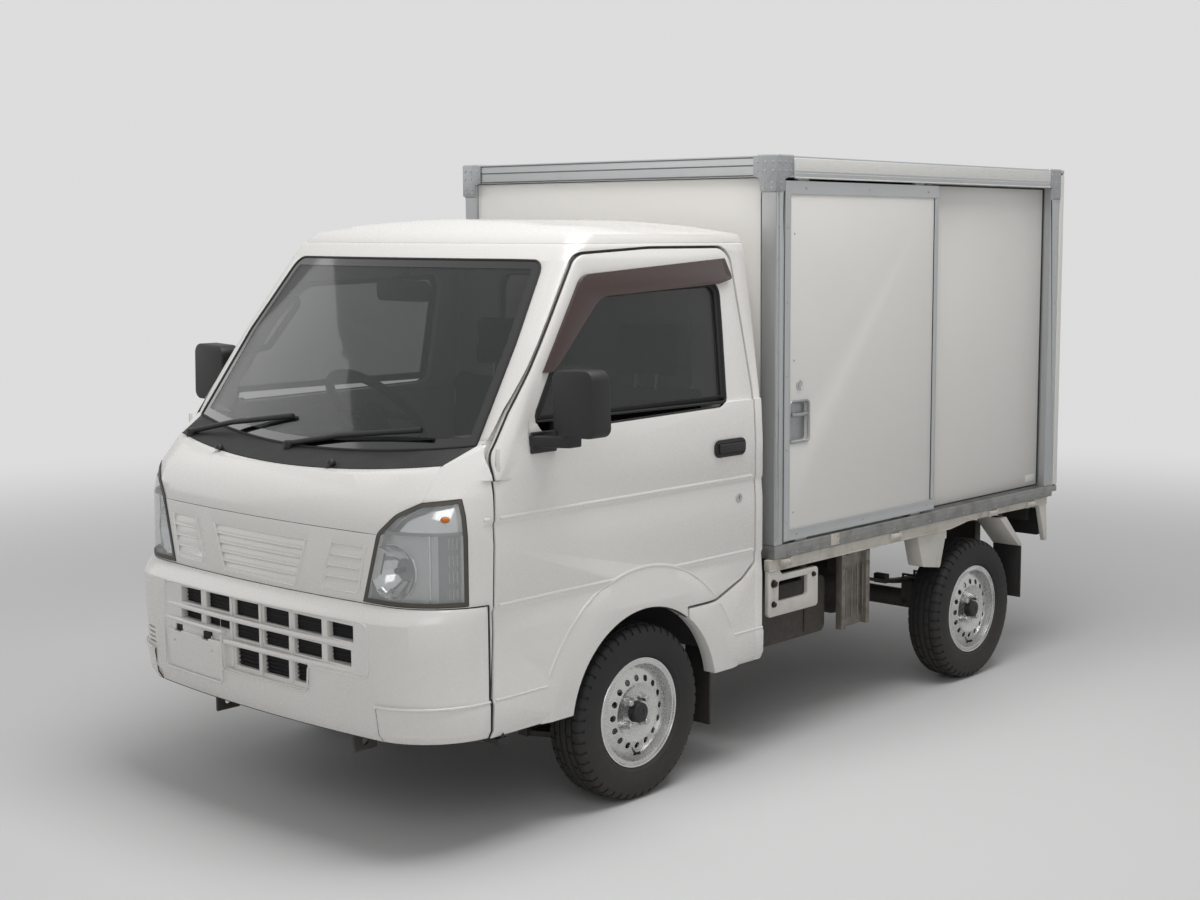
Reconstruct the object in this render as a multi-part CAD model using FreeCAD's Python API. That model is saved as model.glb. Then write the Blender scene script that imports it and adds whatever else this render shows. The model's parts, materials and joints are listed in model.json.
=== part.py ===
"""Light cab-over truck with an aluminium-framed panel box, built as separate pieces.

Units are millimetres. +Z is up, the front of the truck faces -Y and +X is the truck's left side.
The origin is on the ground, midway along the truck and on its centre line.
"""
import FreeCAD, Part
import math
import os
from FreeCAD import Vector

# Overall sizes
LENGTH = 3395.0
WIDTH = 1475.0
WHEELBASE = 1905.0
FRONT_AXLE = 889.0            # behind the bumper's front
CAB_REAR = 1455.0             # behind the bumper's front
ROOF_CROWN = 1745.0
FAR = 4000.0                  # reach of cutting tools, past every face of the truck

# Wheels
TYRE_R = 268.0
TYRE_W = 145.0
RIM_R = 167.0
RIM_W = 112.0
TRACK_FRONT = 1296.0
TRACK_REAR = 1286.0
STUD_CIRCLE_R = 50.0
STUD_R = 6.0
STUDS = 4
VENT_HOLES = 16
VENT_HOLE_R = 9.5
VENT_CIRCLE_R = 104.0
HUB_R = 30.0
BEARING_GAP = 0.3

# Body walls and gaps
WALL = 40.0
GLASS = 5.0
SEAM = 0.4                    # between panels fixed to one body
DOOR_GAP = 8.0                # round anything that opens
BODY_HALF = 731.0
LIP_HALF = WIDTH / 2.0         # arch lips and sills
FLOOR_Z = 400.0
DECK_Z = 620.0
PLATE = 30.0
ARCH_R = 322.0
HINGE_R = 6.0
PIN_GAP = 0.3
PIN_INSET = 10.0

# Frame
RAIL_X = 330.0
RAIL_W = 50.0
RAIL_H = 80.0
RAIL_LOW_Z = 300.0
RAIL_HIGH_Z = 520.0
FRAME_FRONT = 110.0
FRAME_REAR = 3330.0
CROSS_W = 50.0                # cross members, along the truck
BEAM_W = 40.0                 # beams under the bed, along the truck
ENGINE_REAR = 1400.0
PROP_FRONT = (0.0, 1500.0, 400.0)
KNUCKLE_HALF = 92.0           # half height of a knuckle between its two pins
ARM_SPREAD = 130.0            # half width of a lower arm at the frame

# Exhaust
SILENCER_R = 75.0
SILENCER_X = -480.0
SILENCER_Y = (1650.0, 2080.0)
EXHAUST_Z = 395.0
PIPE_R = 18.0
TAIL_X = -385.0               # between the frame rail and the spring

# Box
BOX_FRONT = 1520.0            # behind the bumper's front
BOX_REAR = 3345.0             # behind the bumper's front, face of the rear doors' frame
BOX_HALF = 730.0
BOX_LOW = 645.0
BOX_TOP = 1947.0
POST = 62.0
FRONT_POST_D = 42.0
CLOSED_GAP = 5.0
BOX_WALL = 30.0
RAIL_TOP_H = 70.0
END_RAIL_D = 50.0              # front and rear top rails, along the truck
CORNER = 85.0                  # corner castings, along the truck
BASE_H = 45.0
FLOOR_T = 20.0
SLIDE_REAR = 2470.0           # rear edge of the closed sliding door
SLIDE_T = 26.0
REAR_DOOR_T = 30.0
LOCK_BAR_R = 9.0
LOCK_BAR_X = 70.0
PIN_LENGTH = 30.0              # part of a hinge pin inside its door

DOOR_LOW = 330.0
ROOF_SEAM_Z = 1672.0
WING_TOP_Z = 1141.0
WING_REAR = 345.0
QUARTER_Z = (280.0, 700.0)
MID_CAB = 1000.0
BACK_GLASS_INSET = 15.0
COWL_FRONT = 132.0
CRUMB = 50000.0               # smallest panel kept, cubic millimetres
GLASS_INSET = 12.0
HOUSE_X = 370.0               # inner side of the wheelhouses
HOUSE_R = 350.0
HOUSE_T = 12.0
COWL_BOW = 2500.0
BUMPER_T = 35.0
GRILLE_RECESS = 22.0
PLATE_RECESS = 6.0
FLOOR_HALF = 684.0
DASH_HALF = 650.0
SWING_HALF = 655.0             # inside the sweep of the doors' front edges
SEAT_X = 340.0
WHEEL_X = -350.0
STEER_R = 180.0
STEER_HUB = (WHEEL_X, 770.0, 1120.0)
STEER_FOOT = (WHEEL_X, 470.0, 840.0)
STEER_BOSS = 42.0
VISOR_OUT = 14.0
SPINDLE_R = 18.0
KINGPIN_X = 545.0
PIN_R = 10.0
BED_HALF = 700.0
BED_EDGE = 607.0
BED_BEAMS = (1530.0, 1900.0, 2260.0, 2620.0, 2970.0, 3290.0)
SPRING_X = 440.0
SPRING_ENDS = (2380.0, 3210.0)
SPRING_Z = 430.0
TRACK_IN = 702.0
TRACK_OUT = 722.0
SLIDE_IN = 700.0
FIXED_IN = 668.4
FIXED_OUT = 694.0
REAR_GAP = 7.0
REAR_HINGE_X = BOX_HALF - 8.0
REAR_HINGE_Y = BOX_REAR + 29.0
HINGE_Y = 312.0
HINGE_TOP_Z = 1080.0
ROPE_HOOKS = (1582.0, 2223.0, 2891.0, 3181.0)
HOOK_R = 11.0
HOOK_HALF = 21.0
HOOK_Z = 630.0
STAY_Y = (2062.0, 2234.0)
STAY_X = (585.0, 612.0)
STAY_LOW_Z = 299.0
STEP_HOLE = [(1556.0, 500.0, 8.0), (1556.0, 568.0, 8.0), (1714.0, 568.0, 8.0), (1714.0, 500.0, 8.0)]
STEP_BOLTS = [(1528.0, 495.0), (1528.0, 564.0)]
STEP_BOLT_R = 5.0
VISOR_SIDE = [(505.0, 1318.0, 0.0), (700.0, 1585.0, 70.0), (1340.0, 1624.0, 20.0),
              (1368.0, 1560.0, 10.0), (1300.0, 1545.0, 20.0), (760.0, 1520.0, 90.0), (540.0, 1318.0, 0.0)]
VISOR_LIP = [(505.0, 1318.0, 0.0), (700.0, 1585.0, 70.0), (1340.0, 1624.0, 0.0),
             (1345.0, 1612.0, 0.0), (705.0, 1573.0, 70.0), (517.0, 1318.0, 0.0)]

# x from, x to, z from, z to, depth
BUMPER_RECESSES = [(-445.0, 500.0, 514.0, 657.0, GRILLE_RECESS),
                   (-132.0, 262.0, 440.0, 516.0, GRILLE_RECESS),
                   (-460.0, -138.0, 392.0, 542.0, PLATE_RECESS)]
# x from, x to, z from, z to
GRILLE_CELLS = [(-365.0, -262.0, 603.0, 649.0), (-236.0, -118.0, 603.0, 649.0),
                (-93.0, 25.0, 600.0, 646.0), (49.0, 165.0, 599.0, 645.0), (190.0, 313.0, 599.0, 645.0),
                (337.0, 450.0, 601.0, 646.0),
                (-368.0, -264.0, 552.0, 581.0), (-238.0, -121.0, 551.0, 579.0),
                (-94.0, 23.0, 533.0, 576.0), (46.0, 162.0, 534.0, 575.0), (188.0, 311.0, 531.0, 575.0),
                (335.0, 440.0, 532.0, 577.0),
                (-92.0, 20.0, 451.0, 504.0), (42.0, 159.0, 450.0, 504.0), (184.0, 255.0, 451.0, 505.0)]
PLATE_X = -299.0
PLATE_BOLTS = 210.0
PLATE_BOLT_Z = 478.0
PLATE_BOLT_R = 3.5
TOW_EYE_R = 12.0
PLATE_HOLES = [(-401.0, -364.0, 508.0, 531.0), (-249.0, -210.0, 506.0, 529.0)]


def aft(distance):
    """Row coordinate of a place so far behind the bumper's front."""
    return distance - LENGTH / 2.0


def place(plane, a, b, level):
    """Point (a, b) of a plane, at a level along the plane's normal."""
    if plane == "YZ":
        return Vector(level, aft(a), b)
    if plane == "XZ":
        return Vector(a, aft(level), b)
    return Vector(a, aft(b), level)


def corner(before, here, after, radius):
    """First, middle and last point of a rounded corner."""
    if radius <= 0.0:
        return here, None, here
    to_before = (before - here).normalize()
    to_after = (after - here).normalize()
    half = to_before.getAngle(to_after) / 2.0
    cut = radius / math.tan(half)
    middle = here + (to_before + to_after).normalize() * (radius / math.sin(half) - radius)
    return here + to_before * cut, middle, here + to_after * cut


def outline(plane, rows, level):
    """Closed wire through rows of (a, b, corner radius)."""
    points = [place(plane, row[0], row[1], level) for row in rows]
    count = len(points)
    corners = []
    for i in range(count):
        corners.append(corner(points[i - 1], points[i], points[(i + 1) % count], rows[i][2]))
    edges = []
    for i in range(count):
        first, middle, last = corners[i]
        if middle is not None:
            edges.append(Part.Arc(first, middle, last).toShape())
        following = corners[(i + 1) % count][0]
        if last.distanceToPoint(following) > 1e-6:
            edges.append(Part.LineSegment(last, following).toShape())
    return Part.Wire(edges)


def prism(plane, rows, low, high):
    """Solid of an outline drawn in a plane, from one level to another."""
    face = Part.Face(outline(plane, rows, low))
    if plane == "YZ":
        return face.extrude(Vector(high - low, 0, 0))
    if plane == "XZ":
        return face.extrude(Vector(0, high - low, 0))
    return face.extrude(Vector(0, 0, high - low))


def block(x, y, z, size_x, size_y, size_z):
    """Box from its lowest corner; y is measured behind the bumper's front."""
    return Part.makeBox(size_x, size_y, size_z, Vector(x, aft(y), z))


def span(x0, x1, y0, y1, z0, z1):
    """Box between two corners; y is measured behind the bumper's front."""
    return block(x0, y0, z0, x1 - x0, y1 - y0, z1 - z0)


def rod(radius, start, end):
    """Cylinder between two points (x, distance behind the front, z)."""
    base = Vector(start[0], aft(start[1]), start[2])
    tip = Vector(end[0], aft(end[1]), end[2])
    return Part.makeCylinder(radius, base.distanceToPoint(tip), base, tip - base)


def upright(radius, x, y, low, high):
    """Upright rod."""
    return rod(radius, (x, y, low), (x, y, high))


def mirrored(shape):
    """The same shape on the other side of the truck."""
    return shape.mirror(Vector(0, 0, 0), Vector(1, 0, 0))


def both(shape):
    """A shape with its mirror image."""
    return [shape, mirrored(shape)]


def joined(shapes):
    """One shape fused from several."""
    result = shapes[0].fuse(shapes[1:]) if len(shapes) > 1 else shapes[0]
    return result.removeSplitter()


def bent_tube(points, radius, bend):
    """Round bar along points (x, distance behind the front, z) with rounded bends."""
    path = [Vector(p[0], aft(p[1]), p[2]) for p in points]
    edges = []
    last = path[0]
    for i in range(1, len(path) - 1):
        first, middle, end = corner(path[i - 1], path[i], path[i + 1], bend)
        edges.append(Part.LineSegment(last, first).toShape())
        edges.append(Part.Arc(first, middle, end).toShape())
        last = end
    edges.append(Part.LineSegment(last, path[-1]).toShape())
    spine = Part.Wire(edges)
    start = Part.Wire([Part.makeCircle(radius, path[0], path[1] - path[0])])
    return spine.makePipeShell([start], True, False)


# ---------------------------------------------------------------- cab surfaces

def plan(front, half, front_r, corner_r, rear, z, inset):
    """Plan outline of the cab at one height: bowed front, round corners, square rear."""
    front = front + inset
    half = half - inset
    front_r = front_r - inset
    corner_r = max(corner_r - inset, 8.0)
    rear = rear - inset
    centre_x = half - corner_r
    centre_y = front + front_r - math.sqrt((front_r - corner_r) ** 2 - centre_x ** 2)
    reach = math.hypot(centre_x, centre_y - front - front_r)
    touch_x = centre_x * front_r / reach
    touch_y = front + front_r + (centre_y - front - front_r) * front_r / reach
    turn = (math.atan2(touch_y - centre_y, touch_x - centre_x)) / 2.0
    mid_x = centre_x + corner_r * math.cos(turn)
    mid_y = centre_y + corner_r * math.sin(turn)
    edges = [
        Part.Arc(Vector(-touch_x, aft(touch_y), z), Vector(0, aft(front), z),
                 Vector(touch_x, aft(touch_y), z)).toShape(),
        Part.Arc(Vector(touch_x, aft(touch_y), z), Vector(mid_x, aft(mid_y), z),
                 Vector(half, aft(centre_y), z)).toShape(),
        Part.LineSegment(Vector(half, aft(centre_y), z), Vector(half, aft(rear), z)).toShape(),
        Part.LineSegment(Vector(half, aft(rear), z), Vector(-half, aft(rear), z)).toShape(),
        Part.LineSegment(Vector(-half, aft(rear), z), Vector(-half, aft(centre_y), z)).toShape(),
        Part.Arc(Vector(-half, aft(centre_y), z), Vector(-mid_x, aft(mid_y), z),
                 Vector(-touch_x, aft(touch_y), z)).toShape(),
    ]
    return Part.Wire(edges)


# z, front, half width, corner radius, rear
LOWER_ROWS = [
    (330.0, 60.0, 722.0, 215.0, CAB_REAR),
    (420.0, 50.0, BODY_HALF, 220.0, CAB_REAR),
    (700.0, 43.0, BODY_HALF, 220.0, CAB_REAR),
    (897.0, 45.0, BODY_HALF, 220.0, CAB_REAR),
    (950.0, 58.0, BODY_HALF, 220.0, CAB_REAR),
    (1000.0, 84.0, BODY_HALF, 220.0, CAB_REAR),
    (1050.0, 128.0, BODY_HALF, 220.0, CAB_REAR),
    (1180.0, 250.0, 724.0, 220.0, CAB_REAR),
]
UPPER_ROWS = [
    (1040.0, 188.0, BODY_HALF, 60.0, CAB_REAR),
    (1140.0, 255.0, 724.0, 60.0, CAB_REAR),
    (1395.0, 430.0, 688.0, 60.0, CAB_REAR),
    (1625.0, 602.0, 653.0, 60.0, CAB_REAR),
    (1662.0, 634.0, 645.0, 66.0, CAB_REAR),
    (1698.0, 676.0, 628.0, 75.0, CAB_REAR - 6.0),
    (1722.0, 724.0, 604.0, 85.0, CAB_REAR - 20.0),
    (1738.0, 792.0, 560.0, 95.0, CAB_REAR - 45.0),
    (1752.0, 880.0, 490.0, 110.0, CAB_REAR - 90.0),
]
BUMPER_ROWS = [
    (330.0, 30.0, 718.0, 225.0, CAB_REAR),
    (380.0, 8.0, BODY_HALF, 235.0, CAB_REAR),
    (560.0, 0.0, BODY_HALF, 235.0, CAB_REAR),
    (662.0, 0.0, BODY_HALF, 235.0, CAB_REAR),
    (690.0, 20.0, BODY_HALF, 228.0, CAB_REAR),
    (703.0, 42.0, BODY_HALF, 220.0, CAB_REAR),
]
CHIN_ROWS = [
    (332.0, 26.0, 724.0, 235.0, CAB_REAR),
    (356.0, 10.0, LIP_HALF - 1.0, 240.0, CAB_REAR),
    (424.0, 1.0, LIP_HALF, 240.0, CAB_REAR),
    (444.0, 6.0, BODY_HALF - 1.0, 236.0, CAB_REAR),
]
CHIN_X = 530.0
VENT_SLOTS = 4
VENT_DEEP = 12.0
VENT_X = (-584.0, -526.0)
VENT_LOW_Z = 446.0
VENT_PITCH = 15.0
VENT_H = 7.0
FRONT_BOW = 5000.0
SCREEN_BOW = 3600.0
CROWN_R = 4200.0
CROWN_HALF = 900.0
SHELF_SLOPE = 0.5             # rise of the panel between bonnet and windscreen


def skin(rows, bow, inset):
    """Solid inside the panel rows, moved inwards by an inset."""
    wires = []
    for z, front, half, round_r, rear in rows:
        wires.append(plan(front, half, bow, round_r, rear, z, inset))
    return Part.makeLoft(wires, True, True)


def lower_body(inset):
    """Body below the windows, with its sloping top between bonnet and windscreen."""
    top = 1040.0 - inset
    side = [(-50.0, 200.0, 0.0), (-50.0, top, 0.0), (130.0, top, 0.0),
            (410.0, top + 280.0 * SHELF_SLOPE, 0.0), (1600.0, top + 280.0 * SHELF_SLOPE, 0.0),
            (1600.0, 200.0, 0.0)]
    return skin(LOWER_ROWS, FRONT_BOW, inset).common(prism("YZ", side, -FAR, FAR))


def crown(inset):
    """Everything under the roof's gently arched top."""
    z = ROOF_CROWN - inset
    edge = z - CROWN_HALF ** 2 / (2.0 * CROWN_R)
    arc = Part.Arc(Vector(-CROWN_HALF, aft(-300.0), edge), Vector(0, aft(-300.0), z),
                   Vector(CROWN_HALF, aft(-300.0), edge)).toShape()
    low = [Vector(CROWN_HALF, aft(-300.0), edge), Vector(CROWN_HALF, aft(-300.0), 500.0),
           Vector(-CROWN_HALF, aft(-300.0), 500.0), Vector(-CROWN_HALF, aft(-300.0), edge)]
    wire = Part.Wire([arc] + Part.makePolygon(low).Edges)
    return Part.Face(wire).extrude(Vector(0, FAR, 0))


def upper_body(inset):
    """Body from the windows up to the roof."""
    return skin(UPPER_ROWS, SCREEN_BOW, inset).common(crown(inset))


# Outlines on the side: distance behind the front, height, corner radius
DOOR_SIDE = [(268.0, 330.0, 0.0), (286.0, 700.0, 0.0), (300.0, 1095.0, 90.0), (385.0, 1214.0, 0.0),
             (473.0, 1325.0, 0.0), (567.0, 1454.0, 0.0), (700.0, 1640.0, 70.0), (1010.0, 1655.0, 0.0),
             (1375.0, 1655.0, 60.0), (1415.0, 1200.0, 0.0), (1415.0, 658.0, 14.0),
             (1350.0, 615.0, 60.0), (1220.0, 565.0, 60.0), (1080.0, 565.0, 0.0),
             (1080.0, 500.0, 0.0), (700.0, 330.0, 0.0)]
WINDOW_SIDE = [(425.0, 1150.0, 40.0), (690.0, 1540.0, 55.0), (1310.0, 1555.0, 45.0),
               (1285.0, 1165.0, 40.0)]
ARCH_CENTRE = (894.0, 270.0)


def arch_tool(radius):
    """Cylinder across the truck that opens the front wheel arches."""
    return rod(radius, (-FAR, ARCH_CENTRE[0], ARCH_CENTRE[1]), (FAR, ARCH_CENTRE[0], ARCH_CENTRE[1]))


# Outer side of the cab on the left: x, height
SIDE_LINE = [(722.0, 330.0), (BODY_HALF, 420.0), (BODY_HALF, 1050.0), (724.0, 1140.0),
             (653.0, 1625.0), (645.0, 1662.0), (628.0, 1698.0)]


def side_zone(depth):
    """Everything further out than a depth under the cab's left side."""
    rows = [(x - depth, z, 0.0) for x, z in SIDE_LINE]
    rows = [(rows[0][0], 0.0, 0.0)] + rows + [(rows[-1][0], FAR, 0.0), (FAR, FAR, 0.0), (FAR, 0.0, 0.0)]
    return prism("XZ", rows, 0.0, FAR)


def side_prism(rows, depth):
    """Side outline of the left side, as deep as a door."""
    return prism("YZ", rows, 0.0, FAR).common(side_zone(depth))


# Shallow wedges pressed into the sides under each crease: x, height
CREASES = [[(BODY_HALF + 1.0, 935.0), (BODY_HALF - 5.0, 921.0), (BODY_HALF + 1.0, 850.0)],
           [(BODY_HALF + 1.0, 695.0), (BODY_HALF - 5.0, 681.0), (BODY_HALF + 1.0, 600.0)]]
SILL = [(700.0, 330.0, 0.0), (724.0, 330.0, 0.0), (LIP_HALF - 1.0, 356.0, 0.0),
        (LIP_HALF, 424.0, 0.0), (BODY_HALF - 1.0, 444.0, 0.0), (700.0, 444.0, 0.0)]
FLARE_TOP_R = 408.0
FLARE_R = 442.0


def side_forms(outer):
    """Body sides with their pressed creases, flared front arches and sills."""
    for rows in CREASES:
        wedge = prism("XZ", [(x, z, 0.0) for x, z in rows], 200.0, FAR)
        outer = outer.cut(wedge).cut(mirrored(wedge))
    centre = Vector(BODY_HALF - 1.0, aft(ARCH_CENTRE[0]), ARCH_CENTRE[1])
    across = Vector(1, 0, 0)
    slope = Part.makeCone(FLARE_R, FLARE_TOP_R, LIP_HALF - BODY_HALF + 1.0, centre, across)
    body = Part.makeCylinder(FLARE_R, 31.0, centre - across * 31.0, across)
    above = span(0.0, FAR, 0.0, FAR, SILL[0][1], FAR)
    flare = joined([slope, body]).common(above)
    sill = prism("XZ", SILL, BUMPER_REAR + DOOR_GAP, CAB_REAR)
    side = joined([flare, sill])
    return outer.fuse([side, mirrored(side)])


# Outlines on the front: x, height, corner radius, for the left half
LAMP_FRONT = [(449.0, 709.0, 0.0), (505.0, 902.0, 40.0), (560.0, 955.0, 60.0), (617.0, 986.0, 0.0),
              (724.0, 1000.0, 14.0), (724.0, 709.0, 14.0)]
LAMP_REAR = 205.0
HOOD_SEAM_Z = 897.0
BUMPER_TOP_Z = 703.4
BUMPER_REAR = 260.0
SCREEN_LOW = (652.0, 1112.0)
SCREEN_TOP = (566.0, 1624.0)


def mirrored_rows(rows):
    """Outline rows with their mirror image, closed across the centre line."""
    other = [(-a, b, radius) for a, b, radius in reversed(rows)]
    return rows + other


def make_cab():
    """The cab's panels, split where the real ones meet."""
    outer = side_forms(lower_body(0.0)).fuse(upper_body(0.0))
    shell = outer.cut(cab_inside(WALL)).cut(arch_tool(ARCH_R))
    shell = shell.cut(span(-FAR, FAR, 0.0, MID_CAB, 0.0, DOOR_LOW))
    under_deck = BODY_HALF - WALL
    shell = shell.cut(span(-under_deck, under_deck, MID_CAB, FAR, 0.0, DECK_Z))
    nodes = {}
    body = shell
    for split in (split_doors, split_glass, split_lamps, split_front, split_sides):
        pieces, body = split(body)
        nodes.update(pieces)
    nodes["cab_shell"] = [biggest(body)]
    return nodes


def split_doors(shell):
    """The two doors with their window glass, and the shell without them."""
    door_zone = side_prism(DOOR_SIDE, WALL + 5.0)
    gap_zone = side_prism(grown(DOOR_SIDE, DOOR_GAP), WALL + 5.0 + DOOR_GAP)
    window = prism("YZ", WINDOW_SIDE, 0.0, FAR)
    door = shell.common(door_zone).cut(window)
    pane = upper_body(GLASS_INSET).cut(upper_body(GLASS_INSET + GLASS)).common(window)
    pane = pane.common(side_zone(WALL + 5.0)).cut(lower_body(0.0))
    pane = biggest(pane.common(span(0, FAR, 0, FAR, 0, FAR)))
    nodes = {"door_left": [door], "door_right": [mirrored(door)],
             "door_left_glass": [pane], "door_right_glass": [mirrored(pane)]}
    return nodes, shell.cut(gap_zone).cut(mirrored(gap_zone))


def split_glass(body):
    """Windscreen and rear pane, and the body with their openings."""
    screen_tool = prism("XZ", mirrored_rows([(SCREEN_LOW[0], SCREEN_LOW[1] - 60.0, 10.0),
                                             (616.0, 1395.0, 0.0),
                                             (SCREEN_TOP[0], SCREEN_TOP[1], 45.0)]), 150.0, 760.0)
    screen_tool = screen_tool.cut(lower_body(0.0))
    screen = upper_body(0.0).cut(upper_body(GLASS)).common(screen_tool)
    back_tool = prism("XZ", mirrored_rows([(470.0, 1185.0, 40.0), (440.0, 1560.0, 50.0)]),
                      CAB_REAR - 2.0 * WALL, CAB_REAR + WALL)
    pane_y = CAB_REAR - BACK_GLASS_INSET
    back_pane = back_tool.common(span(-FAR, FAR, pane_y - GLASS, pane_y, 0, FAR))
    return {"cab_glass": [biggest(screen), back_pane]}, body.cut(screen_tool).cut(back_tool)


def split_lamps(body):
    """Headlamps, and the body without them and without the bumper's space."""
    body = body.cut(span(-FAR, FAR, -100.0, BUMPER_REAR + DOOR_GAP, 0, BUMPER_TOP_Z))
    lamps = joined(both(prism("XZ", LAMP_FRONT, -50.0, LAMP_REAR)))
    return {"headlamps": body.common(lamps).Solids}, body.cut(lamps)


def split_front(body):
    """Black cowl, bonnet and the louvred panel between the lamps."""
    cowl_rows = mirrored_rows([(612.0, 205.0, 0.0), (650.0, 315.0, 0.0), (650.0, 560.0, 0.0)])
    cowl_tool = prism("XY", cowl_rows, 900.0, 1400.0)
    cowl_tool = cowl_tool.fuse(span(-612.0, 612.0, 100.0, 330.0, 900.0, 1400.0))
    bow = rod(COWL_BOW, (0.0, COWL_FRONT + COWL_BOW, 900.0), (0.0, COWL_FRONT + COWL_BOW, 1500.0))
    cowl_tool = cowl_tool.common(bow).cut(upper_body(0.0))
    nodes = {"cowl": [body.common(cowl_tool)]}
    body = body.cut(cowl_tool)
    hood_rows = mirrored_rows([(503.0, HOOD_SEAM_Z, 0.0), (560.0, 955.0, 60.0), (617.0, 986.0, 0.0),
                               (606.0, 1140.0, 0.0)])
    hood_tool = prism("XZ", hood_rows, -50.0, 400.0)
    nodes["hood"] = [biggest(body.common(hood_tool))]
    body = body.cut(hood_tool)
    grille_tool = prism("XZ", mirrored_rows([(447.6, 704.0, 0.0), (503.0, HOOD_SEAM_Z, 0.0)]),
                        -50.0, 200.0)
    nodes["grille_panel"] = [biggest(body.common(grille_tool).cut(louvre_tool()))]
    return nodes, body.cut(grille_tool)


def split_sides(body):
    """Roof, front wings and rear quarters."""
    roof_tool = span(-FAR, FAR, 0, FAR, ROOF_SEAM_Z, FAR)
    nodes = {"cab_roof": [biggest(body.common(roof_tool))]}
    body = body.cut(roof_tool)
    wing_tool = span(-FAR, FAR, -50.0, WING_REAR, 0.0, WING_TOP_Z)
    quarter_tool = span(-FAR, FAR, MID_CAB, CAB_REAR - WALL, QUARTER_Z[0], QUARTER_Z[1])
    panels = body.common(wing_tool).Solids + body.common(quarter_tool).Solids
    nodes["wing_panels"] = [s for s in panels if s.Volume > CRUMB]
    return nodes, body.cut(wing_tool).cut(quarter_tool)


# Louvred fields: top and bottom half widths or edges, heights and number of slats
LOUVRES = [
    ((-218.0, 218.0), (-167.0, 167.0), 853.0, 722.0, 5),
    ((327.0, 455.0), (285.0, 425.0), 857.0, 732.0, 4),
    ((-455.0, -327.0), (-425.0, -285.0), 857.0, 732.0, 4),
]
LOUVRE_DEEP = 9.0


def louvre_tool():
    """Sloping slots of the panel between the lamps, following its bow."""
    surface = LOWER_ROWS[2][1]
    axis = Vector(0, aft(surface + FRONT_BOW), 0)
    half_turn = math.degrees(math.asin(460.0 / FRONT_BOW))
    slots = []
    for top, bottom, z_top, z_low, slats in LOUVRES:
        field = prism("XZ", [(top[0], z_top, 10.0), (bottom[0], z_low, 14.0),
                             (bottom[1], z_low, 14.0), (top[1], z_top, 10.0)], -50.0, 200.0)
        pitch = (z_top - z_low) / slats
        for i in range(slats):
            z = z_low + i * pitch
            wedge = prism("YZ", [(surface - 5.0, z, 0.0), (surface - 5.0, z + pitch, 0.0),
                                 (surface + LOUVRE_DEEP, z + pitch - 3.0, 0.0)], 0.0, 1.0).Faces
            face = [f for f in wedge if abs(f.normalAt(0, 0).x) > 0.9][0]
            ring = face.copy()
            ring.rotate(axis, Vector(0, 0, 1), -half_turn)
            slots.append(ring.revolve(axis, Vector(0, 0, 1), 2.0 * half_turn).common(field))
    return slots[0].fuse(slots[1:])


def biggest(shape):
    """The largest solid of a shape."""
    return max(shape.Solids, key=lambda solid: solid.Volume)


def cab_inside(inset):
    """Space inside the cab walls, open below."""
    low = LOWER_ROWS[0]
    rows = [(low[0] - 150.0,) + low[1:]] + LOWER_ROWS
    top = 1040.0 - inset
    rise = 280.0 * SHELF_SLOPE
    side = [(-50.0, 100.0, 0.0), (-50.0, top, 0.0), (130.0, top, 0.0), (410.0, top + rise, 0.0),
            (1600.0, top + rise, 0.0), (1600.0, 100.0, 0.0)]
    low_part = skin(rows, FRONT_BOW, inset).common(prism("YZ", side, -FAR, FAR))
    return low_part.fuse(upper_body(inset))


def grown(rows, gap):
    """Door outline moved outwards by a gap."""
    result = []
    for a, b, radius in rows:
        out_y = -gap if a < 850.0 else gap
        out_z = gap if b > 900.0 else -gap
        result.append((a + out_y, b + out_z, radius))
    return result


def make_bumper():
    """Front bumper with its grille openings, and the dark insert behind them."""
    low = BUMPER_ROWS[0]
    below = [(low[0] - 60.0,) + low[1:]] + BUMPER_ROWS
    front_zone = span(-FAR, FAR, -50.0, BUMPER_REAR, 0.0, FAR)
    bumper = skin(BUMPER_ROWS, FRONT_BOW, 0.0).cut(skin(below, FRONT_BOW, BUMPER_T)).common(front_zone)
    for x0, x1, z0, z1, deep in BUMPER_RECESSES:
        bumper = bumper.cut(span(x0, x1, -20.0, deep, z0, z1))
    for x0, x1, z0, z1 in GRILLE_CELLS:
        bumper = bumper.cut(span(x0, x1, -20.0, 120.0, z0, z1))
    for x0, x1, z0, z1 in PLATE_HOLES:
        bumper = bumper.cut(span(x0, x1, -20.0, 120.0, z0, z1))
    bolt_room = []
    for side in (-0.5, 0.5):
        x = PLATE_X + side * PLATE_BOLTS
        bumper = bumper.cut(rod(PLATE_BOLT_R, (x, -50.0, PLATE_BOLT_Z), (x, 120.0, PLATE_BOLT_Z)))
        bolt_room.append(rod(PLATE_BOLT_R + DOOR_GAP, (x, -50.0, PLATE_BOLT_Z), (x, 120.0, PLATE_BOLT_Z)))
    for i in range(VENT_SLOTS):
        z = VENT_LOW_Z + VENT_PITCH * i
        slot = span(VENT_X[0], VENT_X[1], 0.0, 220.0, z, z + VENT_H)
        bumper = bumper.cut(slot.cut(skin(below, FRONT_BOW, VENT_DEEP)))
    chin = skin(CHIN_ROWS, FRONT_BOW, 0.0).cut(skin(below, FRONT_BOW, BUMPER_T - 5.0)).common(front_zone)
    chin = chin.cut(span(-CHIN_X, CHIN_X, -50.0, 400.0, 0.0, FAR))
    bumper = joined([bumper, chin])
    insert = skin(below, FRONT_BOW, BUMPER_T + SEAM).cut(skin(below, FRONT_BOW, BUMPER_T + SEAM + 12.0))
    insert = insert.common(span(-475.0, 480.0, -20.0, 150.0, 425.0, 670.0)).cut(joined(bolt_room))
    return {"front_bumper": [biggest(bumper)], "bumper_grille": [biggest(insert)]}


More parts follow.
